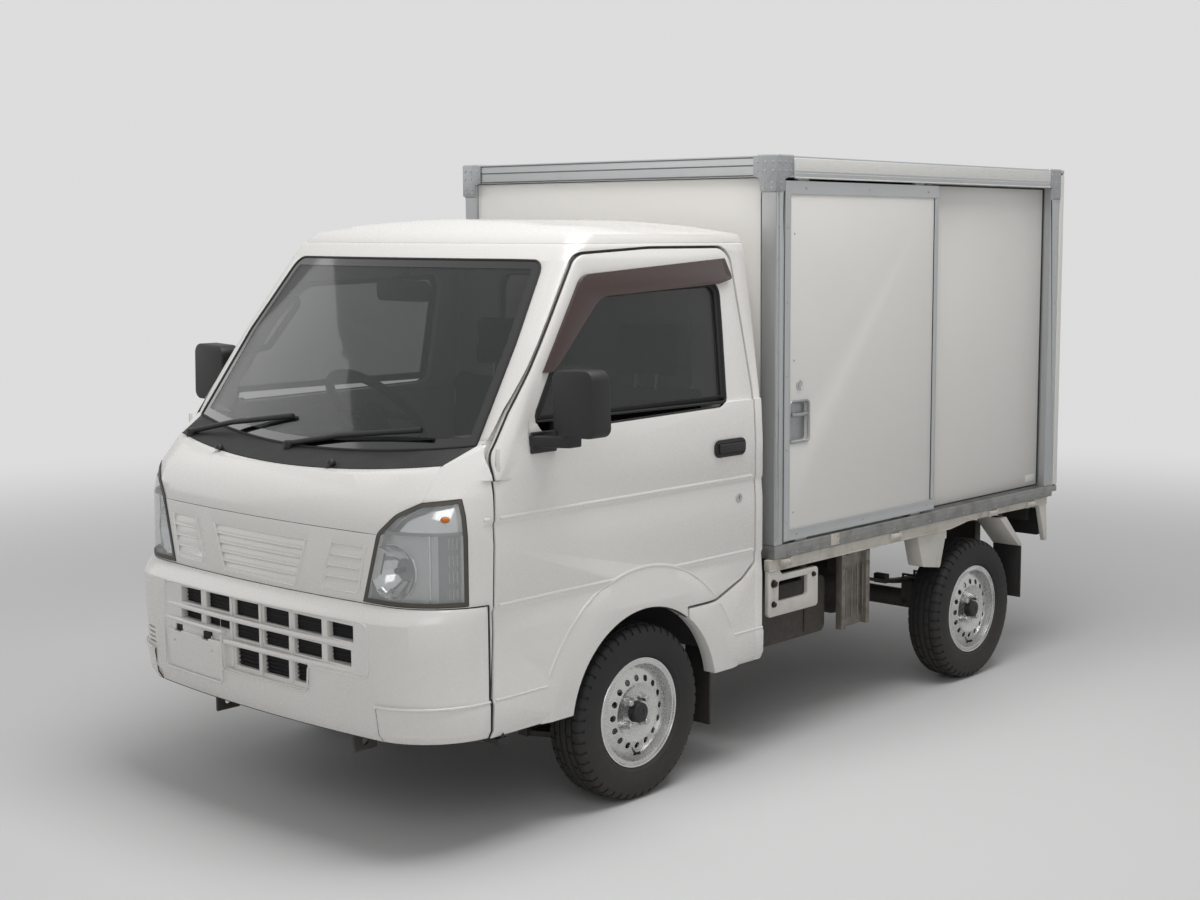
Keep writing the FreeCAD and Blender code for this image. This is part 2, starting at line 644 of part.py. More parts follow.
def make_floor():
    """Cab floor: footwell, riser and the deck under the seats, with bulkhead and wheelhouses."""
    inside = cab_inside(WALL + SEAM)
    pan = span(-FLOOR_HALF, FLOOR_HALF, 0.0, 600.0, FLOOR_Z, FLOOR_Z + PLATE)
    riser = span(-FLOOR_HALF, FLOOR_HALF, 590.0, 620.0, FLOOR_Z, DECK_Z + PLATE)
    deck = span(-FLOOR_HALF, FLOOR_HALF, 590.0, CAB_REAR, DECK_Z, DECK_Z + PLATE)
    house_zone = span(HOUSE_X, FLOOR_HALF, 0.0, CAB_REAR, FLOOR_Z, DECK_Z + PLATE)
    opened = arch_tool(HOUSE_R).common(span(HOUSE_X, FAR, 0.0, CAB_REAR, 0.0, FAR))
    house = arch_tool(HOUSE_R + HOUSE_T).common(house_zone).cut(opened)
    cheek = arch_tool(HOUSE_R + HOUSE_T).common(
        span(HOUSE_X - HOUSE_T, HOUSE_X, 0.0, CAB_REAR, FLOOR_Z, DECK_Z + PLATE))
    floor = joined([pan, riser, deck]).cut(opened).cut(mirrored(opened))
    floor = floor.fuse([house, mirrored(house), cheek, mirrored(cheek)]).common(inside)
    bulkhead = span(-FLOOR_HALF + 240.0, FLOOR_HALF - 240.0, 0.0, 200.0, FLOOR_Z, 990.0)
    wall = inside.cut(cab_inside(WALL + SEAM + 14.0)).common(bulkhead)
    floor = joined([floor, wall])
    sweep = span(SWING_HALF, FAR, 200.0, 380.0, FLOOR_Z - 10.0, FLOOR_Z + 2.0 * PLATE)
    return {"cab_floor": [floor.cut(sweep).cut(mirrored(sweep))]}


def make_seats():
    """Two plain seats: a cushion and a back with its headrest each."""
    cushion = prism("YZ", [(800.0, 655.0, 20.0), (780.0, 790.0, 50.0), (1235.0, 770.0, 30.0),
                           (1250.0, 655.0, 10.0)], -235.0, 235.0)
    back = prism("YZ", [(1225.0, 800.0, 30.0), (1285.0, 1230.0, 40.0), (1380.0, 1230.0, 40.0),
                        (1360.0, 655.0, 20.0), (1260.0, 655.0, 5.0)], -235.0, 235.0)
    head = prism("YZ", [(1290.0, 1225.0, 10.0), (1300.0, 1430.0, 35.0), (1385.0, 1430.0, 35.0),
                        (1375.0, 1225.0, 10.0)], -125.0, 125.0)
    solids = []
    for x in (SEAT_X, -SEAT_X):
        offset = Vector(x, 0, -4.7)
        for piece in (cushion, joined([back, head])):
            moved = piece.copy()
            moved.translate(offset)
            solids.append(moved)
    return {"seats": solids}


def make_dashboard():
    """Dashboard across the cab with the steering column."""
    rows = [(240.0, 760.0, 10.0), (240.0, 1034.0, 10.0), (420.0, 1115.0, 20.0), (505.0, 1085.0, 30.0),
            (480.0, 880.0, 30.0), (330.0, 760.0, 20.0)]
    dash = prism("YZ", rows, -DASH_HALF, DASH_HALF).common(cab_inside(WALL + 15.0))
    stay = span(280.0, 320.0, 170.0, 250.0, 985.0, 1030.0).common(cab_inside(WALL + SEAM))
    foot = Vector(WHEEL_X, aft(STEER_FOOT[1]), STEER_FOOT[2])
    axis, hub = steering_axis()
    length = foot.distanceToPoint(hub) - STEER_BOSS - PIN_GAP
    column = Part.makeCylinder(26.0, length, foot, axis)
    return {"dashboard": [biggest(joined([dash, column] + both(stay)))]}


def make_steering_wheel():
    """Steering wheel with its rim, three spokes and boss."""
    axis, centre = steering_axis()
    rim = Part.makeTorus(STEER_R, 15.0, centre, axis)
    boss = Part.makeCylinder(48.0, STEER_BOSS + 4.0, centre - axis * STEER_BOSS, axis)
    spokes = []
    side = Vector(1, 0, 0)
    down = axis.cross(side)
    for direction in (side, side * -1.0, down * (1.0 if down.z < 0 else -1.0)):
        spokes.append(Part.makeCylinder(13.0, STEER_R, centre - axis * 8.0, direction))
    return {"steering_wheel": [joined([rim, boss] + spokes)]}


def steering_axis():
    """Direction of the steering column, up towards the driver, and the wheel's centre."""
    low = Vector(WHEEL_X, aft(STEER_FOOT[1]), STEER_FOOT[2])
    hub = Vector(WHEEL_X, aft(STEER_HUB[1]), STEER_HUB[2])
    return (hub - low).normalize(), hub


def make_fittings():
    """Interior mirror and grab handle."""
    mirror = prism("XZ", [(-115.0, 1495.0, 22.0), (-115.0, 1558.0, 22.0), (115.0, 1558.0, 22.0),
                          (115.0, 1495.0, 22.0)], 590.0, 612.0)
    stalk = bent_tube([(0.0, 605.0, 1540.0), (0.0, 618.0, 1592.0), (0.0, 655.0, 1655.0)], 7.0, 10.0)
    handle = bent_tube([(-636.0, 455.0, 1318.0), (-592.0, 528.0, 1334.0), (-558.0, 642.0, 1490.0),
                        (-606.0, 585.0, 1506.0)], 11.0, 25.0)
    roof_side = upper_body(0.0).cut(upper_body(WALL))
    return {"cab_fittings": [joined([mirror, stalk]).cut(roof_side), handle.cut(roof_side)]}


def make_wipers():
    """Two wipers lying on the cowl and the foot of the windscreen."""
    pieces = []
    for x0, x1 in ((-560.0, -110.0), (-60.0, 470.0)):
        arm = bent_tube([(x0, 208.0, 1088.0), (x0 + 0.4 * (x1 - x0), 232.0, 1126.0),
                         (x1, 262.0, 1162.0)], 8.0, 60.0)
        foot = rod(17.0, (x0, 208.0, 1070.0), (x0, 208.0, 1096.0))
        pieces.append(joined([arm, foot]).cut(lower_body(-SEAM)).cut(upper_body(-SEAM)))
    return {"wipers": [biggest(piece) for piece in pieces]}


def make_door_fittings():
    """Outside mirror, pull handle and the window's rain visor of the left door."""
    head = prism("XZ", [(775.0, 1148.0, 28.0), (768.0, 1330.0, 32.0), (925.0, 1336.0, 32.0),
                        (932.0, 1150.0, 28.0)], 470.0, 540.0)
    arm = prism("XY", [(BODY_HALF - 10.0, 420.0, 8.0), (BODY_HALF - 10.0, 520.0, 8.0),
                       (830.0, 530.0, 8.0), (830.0, 480.0, 8.0)], 1118.0, 1150.0)
    mirror = joined([head, arm]).cut(lower_body(-SEAM)).cut(upper_body(-SEAM))
    pull = prism("YZ", [(1212.0, 1010.0, 22.0), (1212.0, 1064.0, 22.0), (1362.0, 1064.0, 22.0),
                        (1362.0, 1010.0, 22.0)], BODY_HALF + SEAM, BODY_HALF + 6.0)
    band = prism("YZ", VISOR_SIDE, 0.0, FAR).common(span(0, FAR, 0, FAR, 0, FAR))
    visor = upper_body(-VISOR_OUT).cut(upper_body(-VISOR_OUT + 3.0)).common(band)
    lip = prism("YZ", VISOR_LIP, 0.0, FAR).common(upper_body(-VISOR_OUT)).cut(upper_body(-SEAM))
    zone = side_zone(40.0).common(span(0, FAR, 440.0, 1395.0, 0.0, FAR))
    visor = joined([visor.common(zone), lip.common(zone)])
    return [biggest(mirror), pull], [biggest(visor)]


# ---------------------------------------------------------------- wheels and axles

def turned(rows, centre):
    """Solid turned about the X axis through a centre, from rows of (x, radius)."""
    points = [Vector(centre.x + x, centre.y, centre.z + radius) for x, radius in rows]
    points.append(points[0])
    face = Part.Face(Part.makePolygon(points))
    return face.revolve(centre, Vector(1, 0, 0), 360.0)


def make_wheel(centre):
    """Tyre and pressed steel wheel with its hub, outer face towards +X."""
    half = TYRE_W / 2.0
    seat = RIM_R - 14.6
    tyre = turned([(-RIM_W / 2.0 + 0.4, seat + 0.3), (-RIM_W / 2.0 + 0.4, RIM_R + 1.0),
                   (-half, RIM_R + 22.0), (-half, RIM_R + 48.0), (-half + 8.0, TYRE_R - 14.0),
                   (-half + 24.0, TYRE_R - 3.0), (-half + 40.0, TYRE_R), (half - 40.0, TYRE_R),
                   (half - 24.0, TYRE_R - 3.0), (half - 8.0, TYRE_R - 14.0), (half, RIM_R + 48.0),
                   (half, RIM_R + 22.0), (RIM_W / 2.0 - 0.4, RIM_R + 1.0),
                   (RIM_W / 2.0 - 0.4, seat + 0.3)], centre)
    edge = RIM_W / 2.0
    thin = 4.0
    barrel = turned([(-edge - thin, RIM_R), (-edge, RIM_R), (-edge, seat), (edge, seat), (edge, RIM_R),
                     (edge + thin, RIM_R), (edge + thin, seat - thin), (-edge - thin, seat - thin)],
                    centre)
    disc = turned([(24.0, seat - thin), (36.0, 126.0), (47.0, 88.0), (39.0, 76.0), (39.0, HUB_R),
                   (44.0, HUB_R), (44.0, 73.0), (53.0, 90.0), (42.0, 129.0), (30.0, seat - thin)],
                  centre)
    for i in range(VENT_HOLES):
        angle = 2.0 * math.pi * i / VENT_HOLES
        hole = Vector(centre.x, centre.y + VENT_CIRCLE_R * math.sin(angle),
                      centre.z + VENT_CIRCLE_R * math.cos(angle))
        disc = disc.cut(Part.makeCylinder(VENT_HOLE_R, 100.0, hole, Vector(1, 0, 0)))
    hub = turned([(-30.0, SPINDLE_R + BEARING_GAP), (-30.0, 44.0), (20.0, 44.0), (20.0, 76.0),
                  (38.8, 76.0), (38.8, HUB_R), (66.0, HUB_R), (66.0, 0.0), (46.0, 0.0),
                  (46.0, SPINDLE_R + BEARING_GAP)], centre)
    studs = []
    for i in range(STUDS):
        angle = 2.0 * math.pi * (i + 0.5) / STUDS
        foot = Vector(centre.x + 30.0, centre.y + STUD_CIRCLE_R * math.sin(angle),
                      centre.z + STUD_CIRCLE_R * math.cos(angle))
        disc = disc.cut(Part.makeCylinder(STUD_R + 0.2, 60.0, foot, Vector(1, 0, 0)))
        studs.append(Part.makeCylinder(STUD_R, 32.0, foot, Vector(1, 0, 0)))
    return tyre, joined([barrel, disc]), joined([hub] + studs)


def make_wheels():
    """The four wheels."""
    nodes = {}
    for end, y, track in (("front", FRONT_AXLE, TRACK_FRONT), ("rear", FRONT_AXLE + WHEELBASE, TRACK_REAR)):
        tyre, rim, hub = make_wheel(Vector(track / 2.0, aft(y), TYRE_R))
        nodes["tyre_%s_left" % end] = [tyre]
        nodes["wheel_%s_left" % end] = [joined([rim, hub])]
        nodes["tyre_%s_right" % end] = [mirrored(tyre)]
        nodes["wheel_%s_right" % end] = [mirrored(joined([rim, hub]))]
    return nodes


def make_front_suspension():
    """Lower arms and struts, and the knuckles that steer between them."""
    low = TYRE_R - KNUCKLE_HALF
    high = TYRE_R + KNUCKLE_HALF
    x = KINGPIN_X
    y = FRONT_AXLE
    spindle = rod(SPINDLE_R, (x, y, TYRE_R), (TRACK_FRONT / 2.0 + 40.0, y, TYRE_R))
    post = upright(24.0, x, y, low, high)
    steer_arm = span(x - 12.0, x + 12.0, y, y + 120.0, low + 20.0, low + 34.0)
    knuckle = joined([spindle, post, steer_arm])
    knuckle = knuckle.cut(upright(PIN_R + PIN_GAP, x, y, low - 5.0, low + 45.0))
    knuckle = knuckle.cut(upright(PIN_R + PIN_GAP, x, y, high - 45.0, high + 5.0))
    inner = RAIL_X - 20.0
    arm = prism("XY", [(x + 18.0, y - 16.0, 8.0), (x + 18.0, y + 16.0, 8.0),
                       (inner, y + ARM_SPREAD, 8.0), (inner, y - ARM_SPREAD, 8.0)],
                low - 24.0, low - 6.0)
    pin = upright(PIN_R, x, y, low - 20.0, low + 40.0)
    post_low = span(inner, RAIL_X + 20.0, y - ARM_SPREAD + 5.0, y + ARM_SPREAD - 5.0,
                    low - 24.0, RAIL_LOW_Z)
    house_z = ARCH_CENTRE[1] + math.sqrt(HOUSE_R ** 2 - 30.0 ** 2) - SEAM
    strut = upright(22.0, x, y, high + 6.0, house_z)
    strut_pin = upright(PIN_R, x, y, high - 40.0, high + 10.0)
    return {"front_suspension": both(joined([arm, pin, post_low])) + both(joined([strut, strut_pin])),
            "knuckle_left": [knuckle], "knuckle_right": [mirrored(knuckle)]}


def make_chassis():
    """Ladder frame: rails with spring hangers and tow eyes, cross members, and the beams under the bed."""
    top = RAIL_LOW_Z + RAIL_H
    rail_top = RAIL_HIGH_Z + RAIL_H
    half = RAIL_W / 2.0
    between = RAIL_X - half - SEAM
    side = [(FRAME_FRONT, RAIL_LOW_Z, 0.0), (FRAME_FRONT, top, 0.0), (1180.0, top, 0.0),
            (1460.0, rail_top, 0.0), (FRAME_REAR, rail_top, 0.0),
            (FRAME_REAR, RAIL_HIGH_Z, 0.0), (1490.0, RAIL_HIGH_Z, 0.0), (1210.0, RAIL_LOW_Z, 0.0)]
    rail = [prism("YZ", side, RAIL_X - half, RAIL_X + half)]
    members = []
    for y in (130.0, 560.0):
        members.append(span(-between, between, y, y + CROSS_W, RAIL_LOW_Z, FLOOR_Z - SEAM))
        rail.append(span(RAIL_X - half, RAIL_X + half, y, y + CROSS_W, top - 5.0, FLOOR_Z - SEAM))
    for y in (820.0, 1120.0):
        rail.append(span(RAIL_X - half, RAIL_X + half, y, y + CROSS_W, top - 5.0, DECK_Z - SEAM))
    members.append(span(-between, between, FRAME_REAR - BEAM_W, FRAME_REAR, RAIL_HIGH_Z, rail_top))
    for y in SPRING_ENDS:
        rail.append(span(RAIL_X, SPRING_X + 30.0, y - 20.0, y + 20.0, SPRING_Z, RAIL_HIGH_Z + 10.0))
    eye_y = FRAME_FRONT + 40.0
    eye_z = RAIL_LOW_Z - 22.0
    eye = span(RAIL_X - 5.0, RAIL_X + 5.0, eye_y - 40.0, eye_y + 40.0, RAIL_LOW_Z - 50.0, RAIL_LOW_Z + 10.0)
    eye = eye.cut(rod(TOW_EYE_R, (RAIL_X - 50.0, eye_y, eye_z), (RAIL_X + 50.0, eye_y, eye_z)))
    rail.append(eye)
    beams = []
    for y in BED_BEAMS:
        beams.append(span(-BED_HALF, BED_HALF, y, y + BEAM_W, rail_top + SEAM, BOX_LOW - SEAM))
    lamp_arm = span(510.0, 640.0, BED_BEAMS[-1] + 10.0, BED_BEAMS[-1] + BEAM_W, 540.0, rail_top + 10.0)
    beams[-1] = joined([beams[-1]] + both(lamp_arm))
    return {"chassis_frame": both(joined(rail)) + members, "bed_beams": beams}


def make_rear_axle():
    """Rear axle with its propeller shaft and leaf springs."""
    axle_y = FRONT_AXLE + WHEELBASE
    track = TRACK_REAR / 2.0
    half_axle = [(0.0, 110.0), (50.0, 110.0), (95.0, 80.0), (120.0, 36.0), (track - 95.0, 36.0),
                 (track - 95.0, SPINDLE_R), (track + 40.0, SPINDLE_R), (track + 40.0, 0.0)]
    casing = turned([(-x, radius) for x, radius in reversed(half_axle)] + half_axle[1:],
                    Vector(0, aft(axle_y), TYRE_R))
    parts = [casing, rod(32.0, PROP_FRONT, (0.0, axle_y, TYRE_R + 10.0))]
    low_end = SPRING_Z - 10.0
    high_end = SPRING_Z - SEAM
    leaf = prism("YZ", [(SPRING_ENDS[0], low_end, 0.0), (axle_y, TYRE_R + 36.0, 1200.0),
                        (SPRING_ENDS[1], low_end, 0.0), (SPRING_ENDS[1], high_end, 0.0),
                        (axle_y, TYRE_R + 60.0, 1200.0), (SPRING_ENDS[0], high_end, 0.0)],
                 SPRING_X - 25.0, SPRING_X + 25.0)
    seat = span(SPRING_X - 25.0, SPRING_X + 25.0, axle_y - 60.0, axle_y + 60.0,
                TYRE_R + 10.0, TYRE_R + 92.0)
    return {"rear_axle": [joined(parts + both(joined([leaf, seat])))]}


def make_drive_and_tank():
    """Engine as one plain block, the fuel tank in its straps, and the exhaust."""
    engine = span(-230.0, 230.0, ENGINE_REAR - 500.0, ENGINE_REAR, 320.0, 600.0)
    to_rail = RAIL_X - RAIL_W / 2.0 - SEAM
    mount = span(-to_rail, to_rail, 1000.0, 1050.0, 330.0, 370.0)
    tank = prism("YZ", [(1530.0, 300.0, 30.0), (1530.0, 505.0, 30.0), (2020.0, 505.0, 30.0),
                        (2020.0, 300.0, 30.0)], RAIL_X + 40.0, 570.0)
    parts = [tank]
    for y in (1640.0, 1880.0):
        parts.append(span(RAIL_X + RAIL_W / 2.0 + SEAM, 570.0, y, y + 30.0, 480.0, 595.0))
    return {"engine_block": [joined([engine, mount])], "fuel_tank": [joined(parts)],
            "exhaust": [make_exhaust()]}


def make_exhaust():
    """Pipe from the engine, silencer and tail pipe, hung from the beams under the bed."""
    start, end = SILENCER_Y
    silencer = rod(SILENCER_R, (SILENCER_X, start, EXHAUST_Z), (SILENCER_X, end, EXHAUST_Z))
    front = bent_tube([(-150.0, ENGINE_REAR + SEAM, EXHAUST_Z), (-150.0, 1480.0, EXHAUST_Z),
                       (SILENCER_X, 1570.0, EXHAUST_Z), (SILENCER_X, start + 20.0, EXHAUST_Z)],
                      PIPE_R, 40.0)
    tail_start = SILENCER_X + 45.0
    tail = bent_tube([(tail_start, end - 20.0, EXHAUST_Z), (tail_start, end + 60.0, EXHAUST_Z),
                      (TAIL_X, end + 140.0, EXHAUST_Z), (TAIL_X, FRAME_REAR - 50.0, EXHAUST_Z),
                      (TAIL_X, FRAME_REAR, EXHAUST_Z - 20.0)], PIPE_R, 40.0)
    under_beams = RAIL_HIGH_Z + RAIL_H
    hangers = []
    for x, y in ((SILENCER_X, BED_BEAMS[1]), (TAIL_X, BED_BEAMS[4])):
        hangers.append(span(x - 8.0, x + 8.0, y + 5.0, y + BEAM_W - 5.0, EXHAUST_Z, under_beams))
    return joined([silencer, front, tail] + hangers)


# ---------------------------------------------------------------- box and bed

def make_box():
    """Panel box: base, aluminium frame, panels and roof, and its four doors."""
    nodes = {}
    rear = BOX_REAR
    inner = BOX_HALF - POST
    sill_rear = rear - POST
    floor = span(-inner + SEAM, inner - SEAM, BOX_FRONT + POST + SEAM, sill_rear - SEAM,
                 BOX_LOW, BOX_LOW + FLOOR_T)
    rail = span(inner, BOX_HALF, BOX_FRONT + POST + SEAM, sill_rear - SEAM, BOX_LOW, BOX_LOW + BASE_H)
    groove = span(TRACK_IN, TRACK_OUT, BOX_FRONT, sill_rear + 1.0, BOX_LOW + BASE_H - 10.0,
                  BOX_LOW + BASE_H + 10.0)
    front_sill = span(-BOX_HALF, BOX_HALF, BOX_FRONT, BOX_FRONT + POST, BOX_LOW, BOX_LOW + BASE_H)
    slot = groove.common(span(0.0, FAR, BOX_FRONT + FRONT_POST_D, FAR, 0.0, FAR))
    front_sill = front_sill.cut(slot).cut(mirrored(slot))
    nodes["box_base"] = [floor, front_sill] + both(rail.cut(groove))

    low = BOX_LOW + BASE_H + SEAM
    top = BOX_TOP - RAIL_TOP_H
    post_front = span(inner, BOX_HALF, BOX_FRONT, BOX_FRONT + FRONT_POST_D, low, BOX_TOP)
    post_rear = span(inner, BOX_HALF, rear - POST, rear, low, BOX_TOP)
    side_rail = span(inner - 10.0, BOX_HALF, BOX_FRONT, rear, top, BOX_TOP)
    valance = span(BOX_HALF - 2.0, WIDTH / 2.0, BOX_FRONT + CORNER, rear - CORNER, top, BOX_TOP - 8.0)
    parts = both(post_front) + both(post_rear) + both(side_rail) + both(valance)
    parts.append(span(-inner, inner, BOX_FRONT, BOX_FRONT + END_RAIL_D, top, BOX_TOP))
    parts.append(span(-inner, inner, rear - END_RAIL_D, rear, top, BOX_TOP))
    for y0, y1 in ((BOX_FRONT - 4.0, BOX_FRONT + CORNER), (rear - CORNER, rear + 1.0)):
        cap = span(inner - 10.0, WIDTH / 2.0 - 2.0, y0, y1, top, BOX_TOP + 3.0)
        parts.extend(both(cap))
        y_leg = (y0, y0 + FRONT_POST_D) if y0 < BOX_FRONT else (y1 - POST, y1)
        parts.extend(both(span(inner + 2.0, BOX_HALF + 3.0, y_leg[0], y_leg[1], top - 45.0, top)))
    space = span(-inner, inner, BOX_FRONT + END_RAIL_D, rear - END_RAIL_D, low - 5.0, top)
    frame = joined(parts)
    frame = frame.cut(space)
    slide_slot = span(TRACK_IN - 2.0, TRACK_OUT + 2.0, BOX_FRONT + FRONT_POST_D, rear - POST,
                      top - 1.0, top + 14.0)
    frame = frame.cut(slide_slot).cut(mirrored(slide_slot))
    nodes["box_frame"] = [biggest(frame)]

    front_wall = span(-inner + SEAM, inner - SEAM, BOX_FRONT + 8.0, BOX_FRONT + 8.0 + BOX_WALL,
                      low, top - SEAM)
    fixed = span(FIXED_IN, FIXED_OUT, SLIDE_REAR - 30.0, rear - POST - SEAM, low, top - SEAM)
    roof = span(-inner + 10.0 + SEAM, inner - 10.0 - SEAM, BOX_FRONT + END_RAIL_D + SEAM,
                rear - END_RAIL_D - SEAM, BOX_TOP - 30.0, BOX_TOP - 8.0)
    nodes["box_panels"] = [front_wall, roof] + both(fixed)

    # sliding side doors
    y0 = BOX_FRONT + FRONT_POST_D + CLOSED_GAP
    z0 = BOX_LOW + BASE_H + DOOR_GAP
    z1 = top - DOOR_GAP
    slide = span(SLIDE_IN, SLIDE_IN + SLIDE_T, y0, SLIDE_REAR, z0, z1)
    pocket = span(BOX_HALF - 22.0, BOX_HALF + 10.0, y0 + 30.0, y0 + 140.0, 1025.0, 1152.0)
    slide = slide.cut(pocket)
    for y in (y0 + 80.0, SLIDE_REAR - 140.0):
        slide = slide.fuse(span(TRACK_IN + 2.0, TRACK_OUT - 2.0, y, y + 60.0,
                                BOX_LOW + BASE_H - 10.0 + PIN_GAP, z0 + 1.0))
        slide = slide.fuse(span(TRACK_IN + 2.0, TRACK_OUT - 2.0, y, y + 60.0, z1 - 1.0, top + 10.0))
    nodes["slide_door_left"] = [slide.removeSplitter()]
    nodes["slide_door_right"] = [mirrored(slide.removeSplitter())]

    add_rear_doors(nodes, low)
    return nodes


def rear_pivot(radius, low, high):
    """Upright rod on the left rear door's hinge line."""
    return upright(radius, REAR_HINGE_X, REAR_HINGE_Y, low, high)


def add_rear_doors(nodes, low):
    """Swinging rear doors with their lock bars, and the pins that they turn on."""
    rear = BOX_REAR
    door = span(DOOR_GAP / 2.0, BOX_HALF, rear + REAR_GAP, rear + REAR_GAP + REAR_DOOR_T,
                low, BOX_TOP - 20.0)
    bar_y = rear + REAR_GAP + REAR_DOOR_T + 4.0
    bar = rod(LOCK_BAR_R, (LOCK_BAR_X, bar_y, low + 20.0), (LOCK_BAR_X, bar_y, BOX_TOP - 45.0))
    door = joined([door, bar]).cut(rear_pivot(HINGE_R + PIN_GAP, low - 1.0, low + PIN_LENGTH + 2.0))
    door = door.cut(rear_pivot(HINGE_R + PIN_GAP, BOX_TOP - 52.0, BOX_TOP + 1.0))
    nodes["rear_door_left"] = [door]
    nodes["rear_door_right"] = [mirrored(door)]
    foot = span(REAR_HINGE_X - 8.0, BOX_HALF, rear - 4.0, REAR_HINGE_Y + 8.0, low - 28.0, low - 6.0)
    lower = joined([rear_pivot(HINGE_R, low - 24.0, low + PIN_LENGTH), foot])
    rear_sill = span(-BOX_HALF, BOX_HALF, rear - POST, rear, BOX_LOW, BOX_LOW + BASE_H)
    nodes["box_base"].append(joined([rear_sill] + both(lower)))
    head = span(REAR_HINGE_X - 8.0, BOX_HALF, rear - 4.0, REAR_HINGE_Y + 8.0, BOX_TOP - 14.0, BOX_TOP)
    upper = joined([rear_pivot(HINGE_R, BOX_TOP - 50.0, BOX_TOP - 2.0), head])
    nodes["box_frame"] = [joined(nodes["box_frame"] + both(upper))]


def make_bed():
    """Painted bed sides with rope hooks, brackets, mudguards, flaps and lamps."""
    nodes = {}
    side_rows = [(1502.0, BED_EDGE, 0.0), (1502.0, BOX_LOW - SEAM, 0.0),
                 (3320.0, BOX_LOW - SEAM, 0.0), (3320.0, 618.0, 0.0), (2960.0, 622.0, 60.0),
                 (2720.0, 622.0, 40.0), (2600.0, BED_EDGE, 40.0)]
    side = prism("YZ", side_rows, BED_HALF + SEAM, 722.0)
    parts = [side]
    for y in ROPE_HOOKS:
        parts.append(rod(HOOK_R, (726.0, y - HOOK_HALF, HOOK_Z), (726.0, y + HOOK_HALF, HOOK_Z)))
    left = joined(parts)
    nodes["bed_sides"] = both(left)

    step = prism("YZ", [(1502.0, 454.0, 12.0), (1502.0, BED_EDGE - SEAM, 0.0),
                        (1560.0, BED_EDGE - SEAM, 0.0), (1575.0, 589.0, 10.0),
                        (1772.0, 589.0, 14.0), (1772.0, 454.0, 14.0)], 704.0, 720.0)
    step = step.cut(prism("YZ", STEP_HOLE, 690.0, 740.0))
    for y, z in STEP_BOLTS:
        step = step.cut(rod(STEP_BOLT_R, (690.0, y, z), (740.0, y, z)))
    stay = span(STAY_X[0], STAY_X[1], STAY_Y[0], STAY_Y[1], STAY_LOW_Z, RAIL_HIGH_Z + RAIL_H + 10.0)
    stay = stay.cut(span(STAY_X[0] + 5.0, STAY_X[1] + 8.0, STAY_Y[0] + 23.0, STAY_Y[1] - 23.0, 0.0, FAR))
    stay = stay.fuse(span(STAY_X[0], BED_HALF, STAY_Y[1] - 54.0, STAY_Y[1], BOX_LOW - 45.0, BOX_LOW - 20.0))
    guard = prism("YZ", [(2400.0, BED_EDGE - SEAM, 0.0), (2600.0, BED_EDGE - SEAM, 0.0),
                         (2557.0, 464.0, 10.0), (2440.0, 483.0, 10.0)], 640.0, 705.0)
    guard = guard.cut(prism("YZ", [(2404.0, BOX_LOW, 0.0), (2590.0, BOX_LOW, 0.0), (2549.0, 468.0, 6.0),
                                   (2446.0, 489.0, 6.0)], 600.0, 701.0))
    under_beam = RAIL_HIGH_Z + RAIL_H
    strip = prism("YZ", [(2960.0, under_beam, 0.0), (3010.0, under_beam, 0.0), (3140.0, 471.0, 0.0),
                         (3110.0, 471.0, 0.0)], 600.0, 718.0)
    skirt = prism("YZ", [(3262.0, 617.6, 0.0), (3318.0, 617.6, 0.0), (3330.0, 465.0, 4.0),
                         (3312.0, 465.0, 4.0)], BED_HALF + SEAM, 720.0)
    pieces = [step, stay, guard, strip, skirt]
    nodes["bed_brackets"] = []
    for piece in pieces:
        nodes["bed_brackets"] += both(piece)
    front_flap = span(590.0, BODY_HALF - WALL - SEAM, 1236.0, 1244.0, 150.0, 470.0)
    rear_flap = span(600.0, 725.0, 3112.0, 3120.0, 264.0, 471.0 - SEAM)
    nodes["mud_flaps"] = both(front_flap) + both(rear_flap)
    lamp = prism("XZ", [(470.0, 480.0, 12.0), (470.0, 590.0, 12.0), (680.0, 590.0, 12.0),
                        (680.0, 480.0, 12.0)], FRAME_REAR + SEAM, 3372.0)
    nodes["tail_lamps"] = both(lamp)
    return nodes


def add_door_hinges(nodes):
    """Vertical pivots at the foot and the shoulder of each cab door."""
    x = BODY_HALF - PIN_INSET
    low = DOOR_LOW
    high = HINGE_TOP_Z
    stub_low = upright(HINGE_R, x, HINGE_Y, low - 24.0, low + PIN_LENGTH)
    stub_top = upright(HINGE_R, x, HINGE_Y, high - 40.0, high + 45.0)
    bore_low = upright(HINGE_R + PIN_GAP, x, HINGE_Y, low - 1.0, low + PIN_LENGTH + 2.0)
    bore_top = upright(HINGE_R + PIN_GAP, x, HINGE_Y, high - 42.0, high + 60.0)
    door = nodes["door_left"][0].cut(bore_low).cut(bore_top)
    nodes["door_left"] = [biggest(door)]
    nodes["door_right"] = [mirrored(nodes["door_left"][0])]
    inner = SWING_HALF - 60.0
    y0 = HINGE_Y - 20.0
    y1 = HINGE_Y + 20.0
    plate = span(inner, x + HINGE_R + 2.0, y0, y1, low - 24.0, low - 7.0)
    riser = span(inner, inner + 20.0, y0, y1, low - 24.0, FLOOR_Z + 2.0)
    hinge = joined([plate, riser, stub_low])
    nodes["cab_floor"] = [joined(nodes["cab_floor"] + both(hinge))]
    return both(stub_top)


def write(name, shapes):
    """Write one node as a STEP file."""
    solids = []
    for shape in shapes:
        solids.extend(shape.Solids)
    Part.makeCompound(solids).exportStep("parts/%s.step" % name)
    print("%-22s %2d solids  %9.1f cm3" % (name, len(solids), sum(s.Volume for s in solids) / 1000.0))


